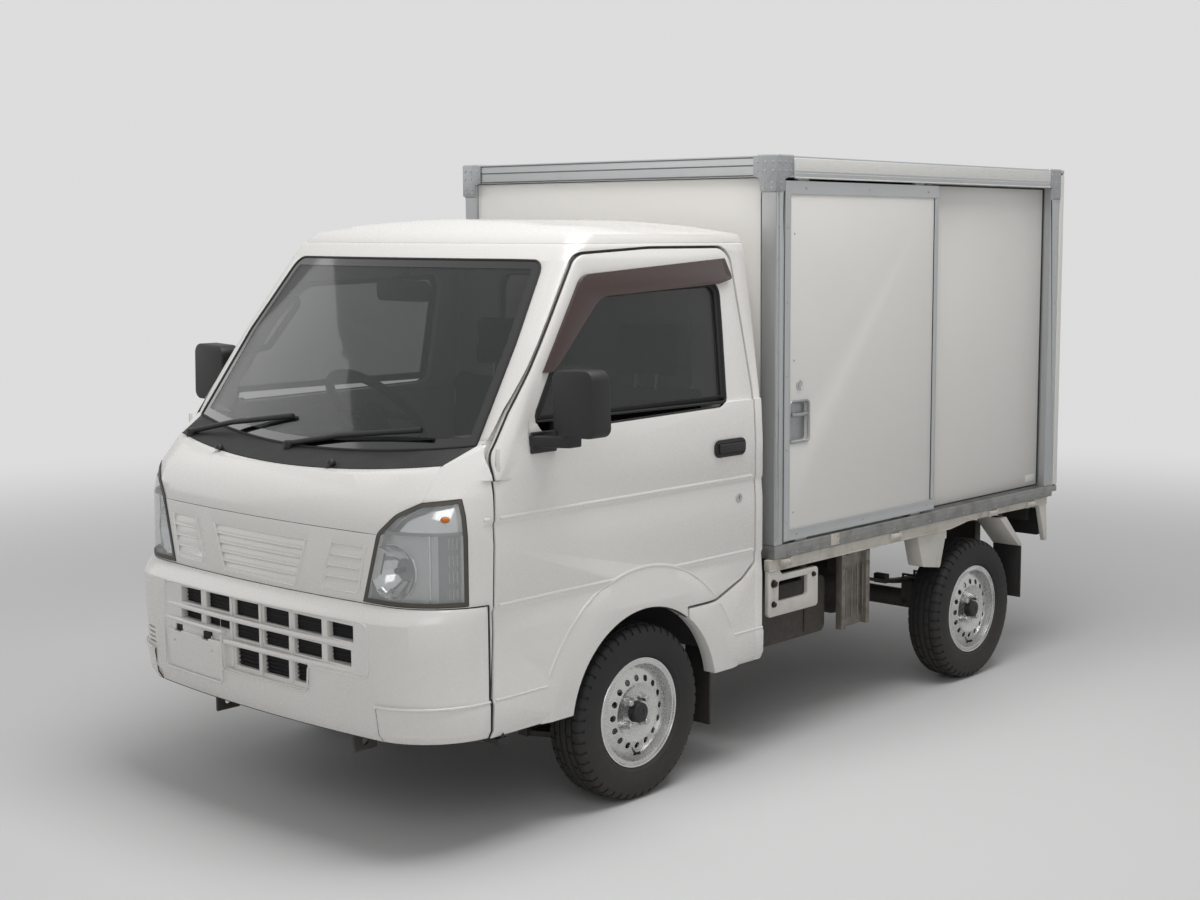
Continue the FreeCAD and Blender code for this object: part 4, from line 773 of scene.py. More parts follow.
def rim_of(piece: Piece) -> list[Vector]:
    """The longest open edge of a sheet, as points in order.

    Args:
        piece: The open sheet.

    Returns:
        The points, in metres.
    """
    work = bmesh.new()
    work.from_mesh(piece.data)
    # a dict and not a set, so that the points start at the same place in every run
    open_edges = dict.fromkeys(edge for edge in work.edges if edge.is_boundary)
    loops = []
    while open_edges:
        first, here = open_edges.popitem()[0].verts
        points = [first.co.copy(), here.co.copy()]
        while here is not first:
            following = next((e for e in here.link_edges if e in open_edges), None)
            if following is None:
                break
            del open_edges[following]
            here = following.other_vert(here)
            points.append(here.co.copy())
        loops.append(points[:-1])
    work.free()
    return max(loops, key=lambda loop: sum((a - b).length for a, b in zip(loop, loop[1:])))


def thinned(points: Sequence[Vector], gap_mm: float) -> list[Vector]:
    """Points of a loop that are at least so far apart.

    Args:
        points: The loop's points.
        gap_mm: Least distance between two points.

    Returns:
        The points that stay.
    """
    kept = [points[0]]
    for point in points[1:]:
        if (point - kept[-1]).length >= mm(gap_mm):
            kept.append(point)
    return kept


def finish(piece: Piece, name: str, look: Finish, body: str = "root",
           replaced: Sequence[str] = (), smooth: float = 35) -> Piece:
    """Names a piece, gives it its finish and hangs it on its body.

    Args:
        piece: The mesh object.
        name: Its plain name.
        look: Its finish.
        body: The CAD body it moves with.
        replaced: CAD nodes it stands for.
        smooth: Angle in degrees under which its edges are shaded smooth.

    Returns:
        The piece.
    """
    settle(piece)
    piece.name = name
    piece.data.name = name
    piece.data.materials.clear()
    piece.data.materials.append(look.material())
    piece.data.polygons.foreach_set("material_index", [0] * len(piece.data.polygons))
    bpy.ops.object.shade_smooth_by_angle(angle=math.radians(smooth))
    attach(piece, body)
    if replaced:
        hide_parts(*replaced)
    LOG.info("%s: %s on %s, %d faces", name, look.name, body, len(piece.data.polygons))
    return piece


def dress(node: str, look: Finish, edge_mm: float = 1.2, segments: int = 2) -> Piece:
    """A CAD node's own shape with its edges rounded and its finish on.

    Args:
        node: The CAD node.
        look: Its finish.
        edge_mm: Rounding of its edges.
        segments: Facets across a rounded edge.

    Returns:
        The piece.
    """
    piece = skin_of(node)
    if edge_mm:
        rounded(piece, edge_mm, segments)
    return finish(piece, node + "_piece", look, NODE_BODY[node], (node,))


class Side(Enum):
    """The truck's two sides, with the sign of X on each."""
    LEFT = 1
    RIGHT = -1

    @property
    def word(self) -> str:
        """The side's word in the names of pieces and bodies."""
        return self.name.lower()

    @property
    def change(self) -> Matrix:
        """What turns a left piece into this side's."""
        return Matrix.Identity(4) if self is Side.LEFT else MIRROR_X


def path(*rows: Triple) -> list[Vector]:
    """Points from rows of millimetres: x, distance behind the front, height."""
    return [at(*row) for row in rows]


def rod(start: Triple, end: Triple, radius_mm: float, sides: int = 3) -> Piece:
    """Straight round bar between two places given in millimetres."""
    return bar(path(start, end), radius_mm, sides=sides)


def block(low: Triple, high: Triple, edge_mm: float, segments: int = 3) -> Piece:
    """Rounded box between two places given in millimetres."""
    return cube(at(*low), at(*high), edge_mm, segments)


def both(piece: Piece, name: str, look: Finish, replaced: Sequence[str] = (),
         smooth: float = 35) -> Piece:
    """Finishes a left piece and its mirror image as one object on the root."""
    return finish(merged([piece, mirrored(piece)]), name, look, "root", replaced, smooth)


def pair(piece: Piece, name: str, look: Finish, stem: str) -> None:
    """Finishes a left piece and its mirrored twin, each on the body of its side.

    Args:
        piece: The left piece.
        name: The name of both without the side.
        look: Their finish.
        stem: The bodies' name without the side.
    """
    made = {Side.LEFT: piece, Side.RIGHT: mirrored(piece)}
    for side, half in made.items():
        finish(half, f"{name}_{side.word}", look, f"{stem}_{side.word}")


def copy_of(piece: Piece) -> Piece:
    """Unchanged copy of a piece."""
    return twin(piece, Matrix.Identity(4))


def sheet_to_plate(sheet: Piece, thick_mm: float, out: bool = False) -> Piece:
    """Thickens a sheet, away from its outer face or beyond it."""
    return modify(sheet, "SOLIDIFY", thickness=mm(thick_mm), offset=1 if out else -1)


def hex_bolt(centre: Vector, axis: Vector, across_mm: float, high_mm: float) -> Piece:
    """Hexagon head with a chamfered top, standing on a washer.

    Args:
        centre: Middle of the washer's foot, in metres.
        axis: Direction away from what it holds.
        across_mm: Distance between the head's corners.
        high_mm: Height of the head.

    Returns:
        The piece.
    """
    washer_mm = 1.8
    washer = lathe([(0, 0), (0, across_mm * 0.62), (1.4, across_mm * 0.62),
                    (washer_mm, across_mm * 0.55), (washer_mm, 0)], centre, axis, 20)
    pick()
    bpy.ops.mesh.primitive_cylinder_add(
        vertices=6, radius=mm(across_mm / 2), depth=mm(high_mm),
        location=centre + axis * mm(washer_mm + high_mm / 2),
        rotation=axis.to_track_quat("Z", "Y").to_euler())
    head = settle(bpy.context.object)
    with editing(head) as mesh:
        choose(mesh, lambda face: face.normal.dot(axis) > 0.9)
        bpy.ops.mesh.inset(thickness=mm(across_mm * 0.07))
        bpy.ops.transform.translate(value=tuple(axis * mm(high_mm * 0.12)))
    return merged([washer, rounded(head, 0.4)])


def rivet(centre: Vector, axis: Vector, radius_mm: float) -> Piece:
    """Domed rivet or screw head.

    Args:
        centre: Middle of its foot, in metres.
        axis: Direction away from what it holds.
        radius_mm: Radius of its foot.

    Returns:
        The piece.
    """
    r = radius_mm
    return lathe([(-0.2, r), (0.3 * r, 0.92 * r), (0.55 * r, 0.6 * r), (0.64 * r, 0)],
                 centre, axis, 14)


def edge_band(sheet: Piece, width_mm: float) -> Piece:
    """Keeps only a band so wide along a sheet's open edge.

    Args:
        sheet: The open sheet, which is changed.
        width_mm: Width of the band.

    Returns:
        The sheet.
    """
    with editing(sheet):
        bpy.ops.mesh.select_mode(type="FACE")
        bpy.ops.mesh.select_all(action="SELECT")
        bpy.ops.mesh.inset(thickness=mm(width_mm), use_boundary=True, use_even_offset=True)
        bpy.ops.mesh.delete(type="FACE")
    return sheet


def outer_rim(node: str, test: Test, deep: Vector, gap_mm: float = 9) -> list[Vector]:
    """Outline of a node's outer face, moved by a vector.

    Args:
        node: The CAD node.
        test: Which faces make up the outer face.
        deep: How far to move the outline, in metres.
        gap_mm: Least distance between its points.

    Returns:
        The outline's points.
    """
    copy = keep_faces(skin_of(node), test)
    points = [point + deep for point in thinned(rim_of(copy), gap_mm)]
    bpy.data.objects.remove(copy)
    return points


def cut_sheet(sheet: Piece, point: Vector, away: Vector) -> Piece:
    """Cuts off everything of a sheet past a plane.

    Args:
        sheet: The sheet.
        point: Point on the plane.
        away: Direction of the part that goes.

    Returns:
        The sheet.
    """
    with editing(sheet):
        bpy.ops.mesh.bisect(plane_co=tuple(point), plane_no=tuple(away), clear_outer=True)
    return sheet


def is_outside(face: Face) -> bool:
    """Whether a face of a front panel looks forwards or away from the truck's middle."""
    outwards = math.copysign(1, face.calc_center_median().x) * face.normal.x
    return face.normal.y < -0.25 or outwards > 0.3


def is_front_skin(face: Face) -> bool:
    """Whether a face of the left lamp is on the outside of the body."""
    return face.normal.y < -0.05 or face.normal.x > 0.3


# ------------------------------------------------------------------ sub-assemblies

@dataclass(frozen=True)
class Louvre:
    """A louvred field of the grille panel: its widths above and below, heights and slats."""
    top: tuple[float, float]
    low: tuple[float, float]
    high_z: float
    low_z: float
    slats: int


@dataclass
class Cab:
    """The cab's painted panels, its glass and the black panel under the windscreen."""
    edge_mm: float = 1.8
    border_mm: float = 30
    panels: tuple[str, ...] = ("cab_shell", "cab_roof", "wing_panels", "hood")
    louvres: tuple[Louvre, ...] = (Louvre((-218, 218), (-167, 167), 853, 722, 5),
                                   Louvre((327, 455), (285, 425), 857, 732, 4),
                                   Louvre((-455, -327), (-425, -285), 857, 732, 4))
    panel_face: tuple[float, float] = (43, 703)
    panel_lean: float = 0.01
    bow_mm: float = 10000
    nozzles: tuple[tuple[float, Side], ...] = ((210, Side.LEFT), (-330, Side.RIGHT))

    def build(self) -> None:
        """Makes the cab's pieces."""
        for node in self.panels:
            dress(node, Look.BODY, self.edge_mm)
        dress("grille_panel", Look.BODY, 2.2, 3)
        dress("cowl", Look.COWL, 2)
        self.louvre_lips()
        self.glass()
        self.shut_lines()
        dress("wipers", Look.BLACK, 1.5)
        self.washers()

    def glass(self) -> None:
        """Windscreen and rear pane with their painted borders and rubber."""
        screen, rear = solids_of("cab_glass")
        outer = keep_faces(copy_of(screen), self.is_screen_face)
        sheet = sheet_to_plate(edge_band(outer, self.border_mm), 0.8, out=True)
        finish(sheet, "windscreen_border", Look.FRIT)
        rim = keep_faces(copy_of(screen), self.is_screen_face)
        seal = bar(thinned(rim_of(rim), 12), 4.5, closed=True)
        bpy.data.objects.remove(rim)
        finish(seal, "windscreen_seal", Look.RUBBER)
        rows = [(-466, 1215), (-440, 1185), (440, 1185), (466, 1215), (442, 1525), (410, 1560),
                (-410, 1560), (-442, 1525)]
        corners = [Vector((mm(x), middle(rear).y, mm(z))) for x, z in rows]
        finish(bar(corners, 9, closed=True), "rear_window_seal", Look.RUBBER)
        finish(merged([screen, rear]), "cab_glass_piece", Look.SCREEN, "root", ("cab_glass",))

    def is_screen_face(self, face: Face) -> bool:
        """Whether a face is on the outside of the windscreen."""
        return face.normal.y < -0.3 and face.normal.z > 0.05

    def louvre_lips(self) -> None:
        """Raised edges round the three louvred fields and along their slats."""
        lips = []
        for louvre in self.louvres:
            top, low, z1, z0 = louvre.top, louvre.low, louvre.high_z, louvre.low_z
            rows = [(top[0] - 3, z1 + 2), (low[0] - 6, z0 + 12), (low[0] + 4, z0 - 4),
                    (low[1] - 4, z0 - 4), (low[1] + 6, z0 + 12), (top[1] + 3, z1 + 2)]
            lips.append(bar([self.on_front(x, z, 0.2) for x, z in rows], 4.4, sides=2))
            for i in range(louvre.slats):
                share = i / louvre.slats
                z = z0 + (z1 - z0) * i / louvre.slats
                x0 = low[0] + (top[0] - low[0]) * share + 8
                x1 = low[1] + (top[1] - low[1]) * share - 8
                steps = [x0 + (x1 - x0) * k / 6 for k in range(7)]
                lips.append(bar([self.on_front(x, z + 1, 0.6) for x in steps], 3, sides=2))
        finish(merged(lips), "louvre_lips", Look.BODY)

    def on_front(self, x: float, z: float, deep_mm: float) -> Vector:
        """Point so deep under the grille panel's bowed and leaning face."""
        y, foot = self.panel_face
        return at(x, y + (z - foot) * self.panel_lean + x * x / self.bow_mm + deep_mm, z)

    def shut_lines(self) -> None:
        """Dark sealer in the joints round the hood, the grille panel and the bumper."""
        lines = [bar(outer_rim(node, is_outside, REAR * mm(2.3), 7), 2, closed=True)
                 for node in ("hood", "grille_panel", "front_bumper")]
        finish(merged(lines), "front_shut_lines", Look.RUBBER)

    def washers(self) -> None:
        """Two washer nozzles on the cowl."""
        profile = [(-6, 13), (0, 13), (6, 9), (9, 5), (10, 0)]
        for x, side in self.nozzles:
            nozzle = lathe(profile, at(x, 150, 1062), UP, 20)
            finish(nozzle, "washer_nozzle_" + side.word, Look.BLACK)


@dataclass
class Studio:
    """Plain pale floor, soft lights and the camera."""
    eye: Triple = (4.157, -4.585, 1.707)
    azimuth: float = 40.29
    elevation: float = 7.156
    lens: float = 52.23
    shift_x: float = -0.085
    backdrop: float = 0.72
    ambient: float = 0.30
    floor_near: float = 2.6
    floor_far: float = 8.5
    aim: Triple = (0, -0.3, 0.8)
    # name, place in metres, side in metres, power in watts
    lamps: tuple[tuple[str, Triple, float, float], ...] = (
        ("key_softbox", (4.5, -5.5, 4.2), 3.2, 62),
        ("fill_softbox", (-6, -3.5, 3.2), 4, 45),
        ("top_softbox", (1.2, -0.6, 5.2), 3, 165))

    def build(self) -> None:
        """Makes the floor, the lights and the camera."""
        self.camera()
        self.floor()
        self.sky()
        for name, place, size, power in self.lamps:
            self.lamp(name, place, size, power)
        bpy.context.scene.view_settings.view_transform = "Standard"

    def camera(self) -> None:
        """The camera at the chosen place and angle."""
        made = bpy.data.cameras.new("camera")
        made.lens, made.sensor_width, made.shift_x, made.clip_end = self.lens, 36, self.shift_x, 200
        camera = bpy.data.objects.new("camera", made)
        bpy.context.scene.collection.objects.link(camera)
        a, e = math.radians(self.azimuth), math.radians(self.elevation)
        back = Vector((math.sin(a) * math.cos(e), -math.cos(a) * math.cos(e), math.sin(e)))
        camera.location = self.eye
        camera.rotation_mode = "QUATERNION"
        camera.rotation_quaternion = (-back).to_track_quat("-Z", "Y")
        bpy.context.scene.camera = camera

    def floor(self) -> None:
        """A wide pale floor that keeps the truck's shadow and fades into the backdrop."""
        pick()
        bpy.ops.mesh.primitive_plane_add(size=60, location=(0, 0, 0))
        ground = settle(bpy.context.object)
        ground.name = "studio_floor"
        made = bpy.data.materials.new("pale_studio_floor")
        made.use_nodes = True
        tree = made.node_tree
        shader = tree.nodes["Principled BSDF"]
        shader.inputs["Base Color"].default_value = linear("#D9D9D9")
        shader.inputs["Roughness"].default_value = 0.75
        place = add_node(tree, "TexCoord").outputs["Object"]
        reach = add_node(tree, "VectorMath", {"operation": "LENGTH"}, {0: place})
        share = add_node(tree, "MapRange", {"interpolation_type": "SMOOTHSTEP"}, {
            "Value": reach.outputs["Value"], "From Min": self.floor_near,
            "From Max": self.floor_far})
        glow = add_node(tree, "Emission", {}, {"Color": (1, 1, 1, 1), "Strength": self.backdrop})
        mix = add_node(tree, "MixShader", {}, {
            0: share.outputs[0], 1: shader.outputs[0], 2: glow.outputs[0]})
        tree.links.new(mix.outputs[0], tree.nodes["Material Output"].inputs["Surface"])
        ground.data.materials.append(made)

    def sky(self) -> None:
        """World light, white where the camera, gloss or glass sees it."""
        world = bpy.data.worlds.new("studio")
        bpy.context.scene.world = world
        world.use_nodes = True
        tree = world.node_tree
        tree.nodes.clear()
        ray = add_node(tree, "LightPath").outputs
        seen = ray["Is Camera Ray"]
        for kind in ("Is Glossy Ray", "Is Transmission Ray"):
            seen = add_node(tree, "Math", {"operation": "MAXIMUM"}, {
                0: seen, 1: ray[kind]}).outputs[0]
        strength = add_node(tree, "MapRange", {}, {
            "Value": seen, "To Min": self.ambient, "To Max": self.backdrop})
        light = add_node(tree, "Background", {}, {
            "Color": (1, 1, 1, 1), "Strength": strength.outputs[0]})
        add_node(tree, "OutputWorld", {}, {"Surface": light.outputs[0]})

    def lamp(self, name: str, place: Triple, size: float, power: float) -> None:
        """One square area lamp aimed at the truck.

        Args:
            name: The lamp's name.
            place: Where it hangs, in metres.
            size: Its side in metres.
            power: Its power in watts.
        """
        made = bpy.data.lights.new(name, "AREA")
        made.energy, made.size = power, size
        lamp = bpy.data.objects.new(name, made)
        bpy.context.scene.collection.objects.link(lamp)
        lamp.location = place
        lamp.rotation_mode = "QUATERNION"
        lamp.rotation_quaternion = (Vector(place) - Vector(self.aim)).to_track_quat("Z", "Y")


@dataclass
class Lamps:
    """Headlamps: lens, gasket, housing, reflector bowl, bulbs and the side part's prisms."""
    gasket_mm: float = 11
    inner_mm: float = 24
    divider_z: float = 905
    side_x: float = 652
    bowl: Triple = (533, 98, 794)
    bowl_axis: Triple = (0.22, -0.975, 0)
    bowl_r: float = 77
    bowl_deep: float = 58
    turn: tuple[float, float, float] = (511, 290.4, 220)
    bulb_x: float = 684
    bulb_z: float = 944
    # from, to, finish and name of each tail lamp window
    windows: tuple[tuple[float, float, Finish, str], ...] = (
        (560, 676, Look.RED, "red"), (514, 556, Look.ORANGE_LENS, "orange"),
        (474, 510, Look.CLEAR_LENS, "clear"))

    def build(self) -> None:
        """Makes both headlamps and the tail lamps."""
        lamps = solids_of("headlamps")
        left = max(lamps, key=lambda o: middle(o).x)
        for lamp in lamps:
            if lamp is not left:
                bpy.data.objects.remove(lamp)
        sheet = keep_faces(copy_of(left), is_front_skin)
        both(sheet_to_plate(copy_of(sheet), 2.6), "headlamp_lenses", Look.LENS, ("headlamps",))
        band = edge_band(copy_of(sheet), self.gasket_mm)
        both(sheet_to_plate(band, 2, out=True), "headlamp_gaskets", Look.GASKET)
        both(bar(thinned(rim_of(sheet), 8), 2.2, closed=True), "headlamp_seals", Look.RUBBER)
        self.housing(left)
        self.insides(sheet)
        bpy.data.objects.remove(sheet)
        self.tail()

    def housing(self, left: Piece) -> None:
        """Tray behind the lens, deeper than the CAD solid so that the bowl fits.

        Args:
            left: The left lamp's solid, which is used up.
        """
        keep_faces(left, lambda face: not is_front_skin(face))
        with editing(left) as mesh:
            choose(mesh, lambda face: face.normal.y > 0.3 and face.normal.x < 0.2
                   and face.calc_center_median().y < aft(200))
            bpy.ops.transform.translate(value=(mm(-12), mm(34), 0))
        both(sheet_to_plate(left, 1.5), "headlamp_housings", Look.BEZEL_DARK)

    def cut(self, sheet: Piece, deep_mm: float, *planes: tuple[Vector, Vector]) -> Piece:
        """Copy of the lens sheet moved into the lamp and cut off past planes.

        Args:
            sheet: The lens sheet.
            deep_mm: How far the copy lies under it.
            planes: A point on each plane, and the direction of the part that goes.

        Returns:
            The copy.
        """
        inner = copy_of(sheet)
        with editing(inner):
            bpy.ops.transform.shrink_fatten(value=-mm(deep_mm))
        for point, away in planes:
            cut_sheet(inner, point, away)
        return inner

    def insides(self, sheet: Piece) -> None:
        """Bezel, side part, indicator chamber, divider, bowl and bulbs.

        Args:
            sheet: The left lens sheet.
        """
        level = UP * mm(self.divider_z)
        edge = LEFT * mm(self.side_x)
        axis = Vector(self.bowl_axis).normalized()
        centre = at(*self.bowl)
        bezel = sheet_to_plate(self.cut(sheet, self.inner_mm, (level, UP), (edge, LEFT)), 2)
        pick()
        bpy.ops.mesh.primitive_cylinder_add(
            vertices=48, radius=mm(self.bowl_r), depth=mm(120), location=centre,
            rotation=axis.to_track_quat("Z", "Y").to_euler())
        tool = settle(bpy.context.object)
        modify(bezel, "BOOLEAN", operation="DIFFERENCE", object=tool, solver="EXACT")
        bpy.data.objects.remove(tool)
        both(bezel, "headlamp_bezels", Look.BEZEL)
        side = self.cut(sheet, self.inner_mm, (level, UP), (edge, -LEFT))
        both(sheet_to_plate(side, 2), "headlamp_side_parts", Look.BEZEL_DARK)
        rib = self.upright(self.inner_mm - 4, self.angle(self.side_x), 714, 903, 3)
        both(rib, "headlamp_ribs", Look.MIRROR)
        chamber = self.cut(sheet, self.inner_mm + 6, (level, -UP))
        both(sheet_to_plate(chamber, 2), "indicator_reflectors", Look.MIRROR)
        divider = self.cut(sheet, 4, (level + UP * mm(4), UP), (level - UP * mm(4), -UP))
        both(sheet_to_plate(divider, 20), "headlamp_dividers", Look.BEZEL_DARK)
        self.bowl_and_bulbs(centre, axis)
        self.prisms()

    def bowl_and_bulbs(self, centre: Vector, axis: Vector) -> None:
        """Faceted bowl with its edge, headlamp bulb with a dark cap, and the amber bulb.

        Args:
            centre: Middle of the bowl's edge, in metres.
            axis: Direction that the bowl faces.
        """
        r, deep, rows = self.bowl_r, self.bowl_deep, 9
        inner = [(-deep * (i / rows) ** 0.9 if i else 0, r * math.sqrt(1 - i / rows))
                 for i in range(rows + 1)]
        outer = [(along - 2, radius + (2 if radius else 0)) for along, radius in reversed(inner)]
        shell = lathe(inner + outer + [inner[0]], centre, axis, 22)
        both(shell, "headlamp_bowls", Look.MIRROR, smooth=12)
        ring = [(0, r + 2.5), (2.5, r + 1.5), (2.5, r - 1), (0, r - 1.5), (0, r + 2.5)]
        both(lathe(ring, centre, axis, 48), "headlamp_bowl_edges", Look.MIRROR)
        cap = [(along - deep, radius)
               for along, radius in ((0, 8), (30, 8), (36, 10), (42, 9), (45, 5), (45.5, 0))]
        both(lathe(cap, centre, axis, 24), "headlamp_bulb_caps", Look.DARK)
        phi = self.angle(self.bulb_x)
        bulb = lathe([(-13, 0), (-11, 6), (-4, 9), (4, 9), (11, 6), (13, 0)],
                     self.on_turn(13, phi, self.bulb_z),
                     Vector((math.cos(phi), math.sin(phi), 0)), 20)
        both(bulb, "indicator_bulbs", Look.AMBER)

    def angle(self, x: float) -> float:
        """Angle round the lamp's corner at an x of its surface."""
        return math.asin((x - self.turn[0]) / self.turn[2])

    def on_turn(self, deep_mm: float, angle: float, z: float) -> Vector:
        """Point so deep under the lens at an angle round the corner.

        Args:
            deep_mm: Distance under the lens.
            angle: Angle round the corner in radians.
            z: Height in millimetres.

        Returns:
            The point, in metres.
        """
        x, y, radius = self.turn
        r = radius - deep_mm
        return at(x + r * math.sin(angle), y - r * math.cos(angle), z)

    def upright(self, deep_mm: float, angle: float, low: float, high: float,
                radius: float) -> Piece:
        """Upright wire under the lens."""
        return bar([self.on_turn(deep_mm, angle, z) for z in (low, high)], radius, sides=2)

    def prisms(self) -> None:
        """Small bright upright prisms on the side part."""
        pieces = [self.upright(self.inner_mm - 3, self.angle(690) + 0.055 * column, low, low + 30,
                               1.6)
                  for column in range(6) for low in (724, 770, 816, 862)]
        both(merged(pieces), "headlamp_prisms", Look.BEZEL)

    def tail(self) -> None:
        """Rear lamps: red, orange and clear windows set into one body."""
        dress("tail_lamps", Look.BLACK, 3)
        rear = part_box("tail_lamps")[1].y
        for x0, x1, look, name in self.windows:
            window = cube(Vector((mm(x0), rear - mm(6), mm(486))),
                          Vector((mm(x1), rear, mm(584))), 2.5)
            with editing(window) as mesh:
                choose(mesh, lambda face: face.normal.y > 0.9)
                bpy.ops.mesh.inset(thickness=mm(4))
                bpy.ops.transform.translate(value=(0, -mm(1.2), 0))
            both(window, "tail_lamp_windows_" + name, look)


@dataclass
class Wheels:
    """Four tyres with their tread, and pressed steel wheels with nuts, cap and valve."""
    centre: Triple = (648, 889, 268)
    base: float = 1905
    rear_in: float = 5
    tyre_r: float = 268
    tread_half: float = 52
    grooves: tuple[float, ...] = (-35, -12, 12, 35)
    groove_deep: float = 5
    notch_deep: float = 3.5
    nut_count: int = 4
    steps: int = 192

    def build(self) -> None:
        """Makes one of each piece, then its copies for the other wheels."""
        hub = at(*self.centre)
        lip = [(54, 165.5), (58.6, 168.6), (60.6, 167), (60.8, 163), (58.6, 161), (54, 162),
               (54, 165.5)]
        # the groove ring is near black: painted shade in the wheel's groove near its rim
        groove = [(22, 151.6), (24.6, 151.6), (29.5, 145.6), (27, 145.2), (22, 149), (22, 151.6)]
        tyre = self.tyre(hub)
        nuts, cap, valve, weight = self.details(hub)
        parts = [("wheel_nuts", Look.STEEL, nuts),
                 ("wheel_lip", Look.BRIGHT, lathe(lip, hub, LEFT, 96)),
                 ("wheel_groove", Look.DARK, lathe(groove, hub, LEFT, 96)),
                 ("hub_cap", Look.BLACK, cap), ("valve", Look.RUBBER, valve),
                 ("balance_weight", Look.STEEL, weight)]
        to_rear = Matrix.Translation(Vector((-mm(self.rear_in), mm(self.base), 0)))
        for end, shift in (("front", Matrix.Identity(4)), ("rear", to_rear)):
            for side in Side:
                name = end + "_" + side.word
                body = "wheel_" + name
                change = side.change @ shift
                finish(twin(tyre, change), f"tyre_{name}_treaded", Look.TYRE, body,
                       ("tyre_" + name,), 32)
                dress(body, Look.WHEEL, 1.2)
                for part, look, piece in parts:
                    finish(twin(piece, change), f"{part}_{name}", look, body)
        for spare in [tyre] + [piece for _, _, piece in parts]:
            bpy.data.objects.remove(spare)

    def tyre(self, centre: Vector) -> Piece:
        """Tyre with a bulged side wall, grooves round the tread and notched shoulders.

        Args:
            centre: Middle of the wheel, in metres.

        Returns:
            The piece.
        """
        tread = []
        x = -self.tread_half
        for groove in self.grooves:
            floor = self.crown(groove) - self.groove_deep
            tread += [(x, self.crown(x)), (groove - 3.5, self.crown(groove)),
                      (groove - 2.5, floor), (groove + 2.5, floor)]
            x = groove + 3.5
        tread += [(x, self.crown(x)), (self.tread_half, self.crown(self.tread_half))]
        wall = [(58, 262), (64, 256), (68.5, 246), (71, 234), (72.4, 220), (72.5, 206),
                (71, 192), (67.5, 181), (67.5, 178.5), (63, 173.5), (58.5, 169.5), (55.8, 167.5),
                (55.8, 153.5)]
        rows = [(-x, r) for x, r in reversed(wall)] + tread + wall
        piece = lathe(rows + [rows[0]], centre, LEFT, self.steps)
        with editing(piece) as mesh:
            choose(mesh, lambda face: self.is_notch(face, centre))
            bpy.ops.mesh.extrude_region_shrink_fatten(
                TRANSFORM_OT_shrink_fatten={"value": -mm(self.notch_deep)})
        return piece

    def crown(self, x: float) -> float:
        """Radius of the tread at a distance from its middle."""
        return self.tyre_r - 3.2 * (x / self.tread_half) ** 2

    def is_notch(self, face: Face, centre: Vector) -> bool:
        """Whether a face lies in a notch of the shoulders or a slit of the tread.

        Args:
            face: A face of the tyre.
            centre: Middle of the wheel, in metres.

        Returns:
            Whether the face is to be sunk.
        """
        spot = face.calc_center_median() - centre
        radius = math.hypot(spot.y, spot.z)
        across = abs(spot.x)
        turn = (math.atan2(spot.z, spot.y) + math.pi) / math.tau
        index = int(turn * self.steps + 1e-3)
        if mm(38.6) < across < mm(66.5) and radius > mm(250):
            return index % 4 == 0
        return mm(15.6) < across < mm(31.4) and radius > mm(265.5) and index % 6 == 2

    def details(self, centre: Vector) -> list[Piece]:
        """Nuts, hub cap, valve and balance weight of the left front wheel.

        Args:
            centre: Middle of the wheel, in metres.

        Returns:
            The pieces, in the order that the line above gives.
        """
        nut = hex_bolt(centre + Vector((mm(44), 0, mm(50))), LEFT, 21, 15)
        there, back = Matrix.Translation(centre), Matrix.Translation(-centre)
        turns = [Matrix.Rotation(math.tau * (i + 0.5) / self.nut_count, 4, "X")
                 for i in range(self.nut_count)]
        nuts = merged([twin(nut, there @ turn @ back) for turn in turns])
        bpy.data.objects.remove(nut)
        cap = lathe([(40, 33), (46, 33), (47, 30.8), (66, 30.8), (69, 28.5), (70.5, 24), (70.5, 12),
                     (69, 10), (69, 0)], centre, LEFT, 40)
        valve = lathe([(0, 0), (0, 6), (4, 4.5), (24, 3.6), (24.5, 4.6), (33, 4.6), (33.5, 0)],
                      centre + Vector((mm(30), 0, mm(-137))), Vector((0.9, 0, 0.35)), 14)
        angles = [math.radians(205) + 0.045 * i for i in range(5)]
        points = [centre + Vector((mm(58.5), mm(160) * math.sin(a), mm(160) * math.cos(a)))
                  for a in angles]
        return [nuts, cap, valve, bar(points, 3.4, smooth=True)]


